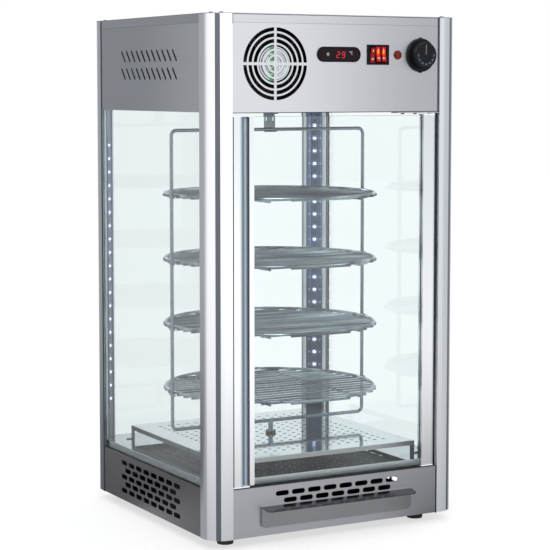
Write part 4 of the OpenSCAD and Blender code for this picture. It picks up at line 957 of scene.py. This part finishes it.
def horizon(g, vector):
    """Brightness of the studio round the horizon, in the direction of a vector."""
    level = level_direction(g, vector)
    total = g.math("MULTIPLY_ADD", sweep(g, vector), 0.85, 0.45)
    total = g.math("ADD", total, patch(g, level, (0.8, -0.6, 0), 0.3, 1.0, 0.45))
    return g.math("ADD", total, patch(g, level, (0.485, 0.875, 0), 0.72, 0.97, 0.40))


def studio_floor():
    """White far off, with the case's shadow close by, and darker in what it mirrors there."""
    g = Graph("studio_floor")
    grey = g.mix(g.noise(0.6, 2.0), (0.385, 0.385, 0.385, 1.0), (0.40, 0.40, 0.40, 1.0))
    matte = g.principled({"Roughness": 0.9, "Specular IOR Level": 0.0}, grey)
    lit = g.add("ShaderNodeAddShader", {0: matte, 1: g.emission(WHITE, 0.66)}).outputs[0]
    away = g.vector("LENGTH", g.place)
    shown = g.blend(g.span(away, 0.0, 1.0, 0.45, 1.3, smooth=True), lit,
                    g.emission(WHITE, 1.02))
    close = g.span(sweep(g, g.place), 0.15, 0.62)
    wide = horizon(g, g.place)
    level = g.span(away, 0.0, 1.0, 0.3, 2.4, smooth=True)
    mirrored = g.math("ADD", g.math("MULTIPLY", close, g.math("SUBTRACT", 1.0, level)),
                      g.math("MULTIPLY", wide, level))
    rays = g.add("ShaderNodeLightPath").outputs
    bounced = g.math("MULTIPLY", rays["Is Glossy Ray"],
                     g.math("SUBTRACT", 1.0, rays["Is Transmission Ray"]))
    return g.done(g.blend(bounced, shown, g.emission(SKY, mirrored)))


floor_mesh = bpy.data.meshes.new("floor")
floor_mesh.from_pydata([(x * FLOOR_HALF, y * FLOOR_HALF, 0)
                        for x, y in ((-1, -1), (1, -1), (1, 1), (-1, 1))], [], [(0, 1, 2, 3)])
floor_mesh.materials.append(studio_floor())
link_to_scene(bpy.data.objects.new("floor", floor_mesh))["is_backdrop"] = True

# The world: plain soft light, a brighter studio for what mirrors it, white for what looks at it
world = bpy.data.worlds.new("studio")
world.use_nodes = True
bpy.context.scene.world = world
w = Nodes(world.node_tree)
towards = w.add("ShaderNodeTexCoord").outputs["Generated"]
studio = w.math("ADD", horizon(w, towards), patch(w, towards, (0, 0, 1), 0.3, 0.9, 0.3))
rays = w.add("ShaderNodeLightPath").outputs
soft, glossy, white = [
    w.add("ShaderNodeBackground", {"Color": color, "Strength": strength}).outputs[0]
    for color, strength in (((0.97, 0.985, 1.0, 1.0), 0.55), (SKY, studio), (WHITE, 1.0))]
seen = w.math("MAXIMUM", rays["Is Camera Ray"], rays["Is Transmission Ray"])
lit = w.blend(rays["Is Glossy Ray"], soft, glossy)
w.add("ShaderNodeOutputWorld", {"Surface": w.blend(seen, lit, white)})


def lamp(name, at, target_z, size, power, glossy=True):
    """A soft rectangular lamp that looks at the case's axis; glossy says whether metal shows it."""
    data = bpy.data.lights.new(name, "AREA")
    data.shape = "RECTANGLE"
    data.size, data.size_y = size
    data.energy = power
    obj = link_to_scene(bpy.data.objects.new(name, data))
    obj.location = at
    ahead = Vector((0, 0, target_z)) - Vector(at)
    obj.rotation_euler = ahead.to_track_quat("-Z", "Y").to_euler()
    obj.visible_camera = False
    obj.visible_glossy = glossy


lamp("key", (-1.3, -2.6, 2.1), 0.45, (1.4, 1.4), 42)
lamp("top", (0.2, 0.3, 2.6), 0.4, (1.5, 1.5), 18)
lamp("fill", (2.4, -1.7, 1.3), 0.4, (1.2, 1.8), 16, glossy=False)
lamp("rear", (-0.6, 2.6, 1.5), 0.4, (1.6, 1.2), 14, glossy=False)

# The camera as fitted to the photograph's frame, in pixels
FRAME_PX = 550
FOCAL_PX = 1796.2
CENTRE_ROW = 235.0
SENSOR_MM = 36.0
camera_data = bpy.data.cameras.new("camera")
camera_data.sensor_width = SENSOR_MM
camera_data.lens = FOCAL_PX / FRAME_PX * SENSOR_MM
camera_data.shift_y = (CENTRE_ROW - FRAME_PX / 2) / FRAME_PX
camera_data.clip_end = 50
camera = link_to_scene(bpy.data.objects.new("camera", camera_data))
camera.location = mm(-1473.3, -2675.1 + MID_Y, 724.6)
yaw, pitch = math.radians(29.0), math.radians(-4.73)
ahead = Vector((math.sin(yaw) * math.cos(pitch), math.cos(yaw) * math.cos(pitch),
                math.sin(pitch)))
camera.rotation_euler = ahead.to_track_quat("-Z", "Y").to_euler()
bpy.context.scene.camera = camera
bpy.context.scene.view_settings.view_transform = "Standard"

low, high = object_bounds()
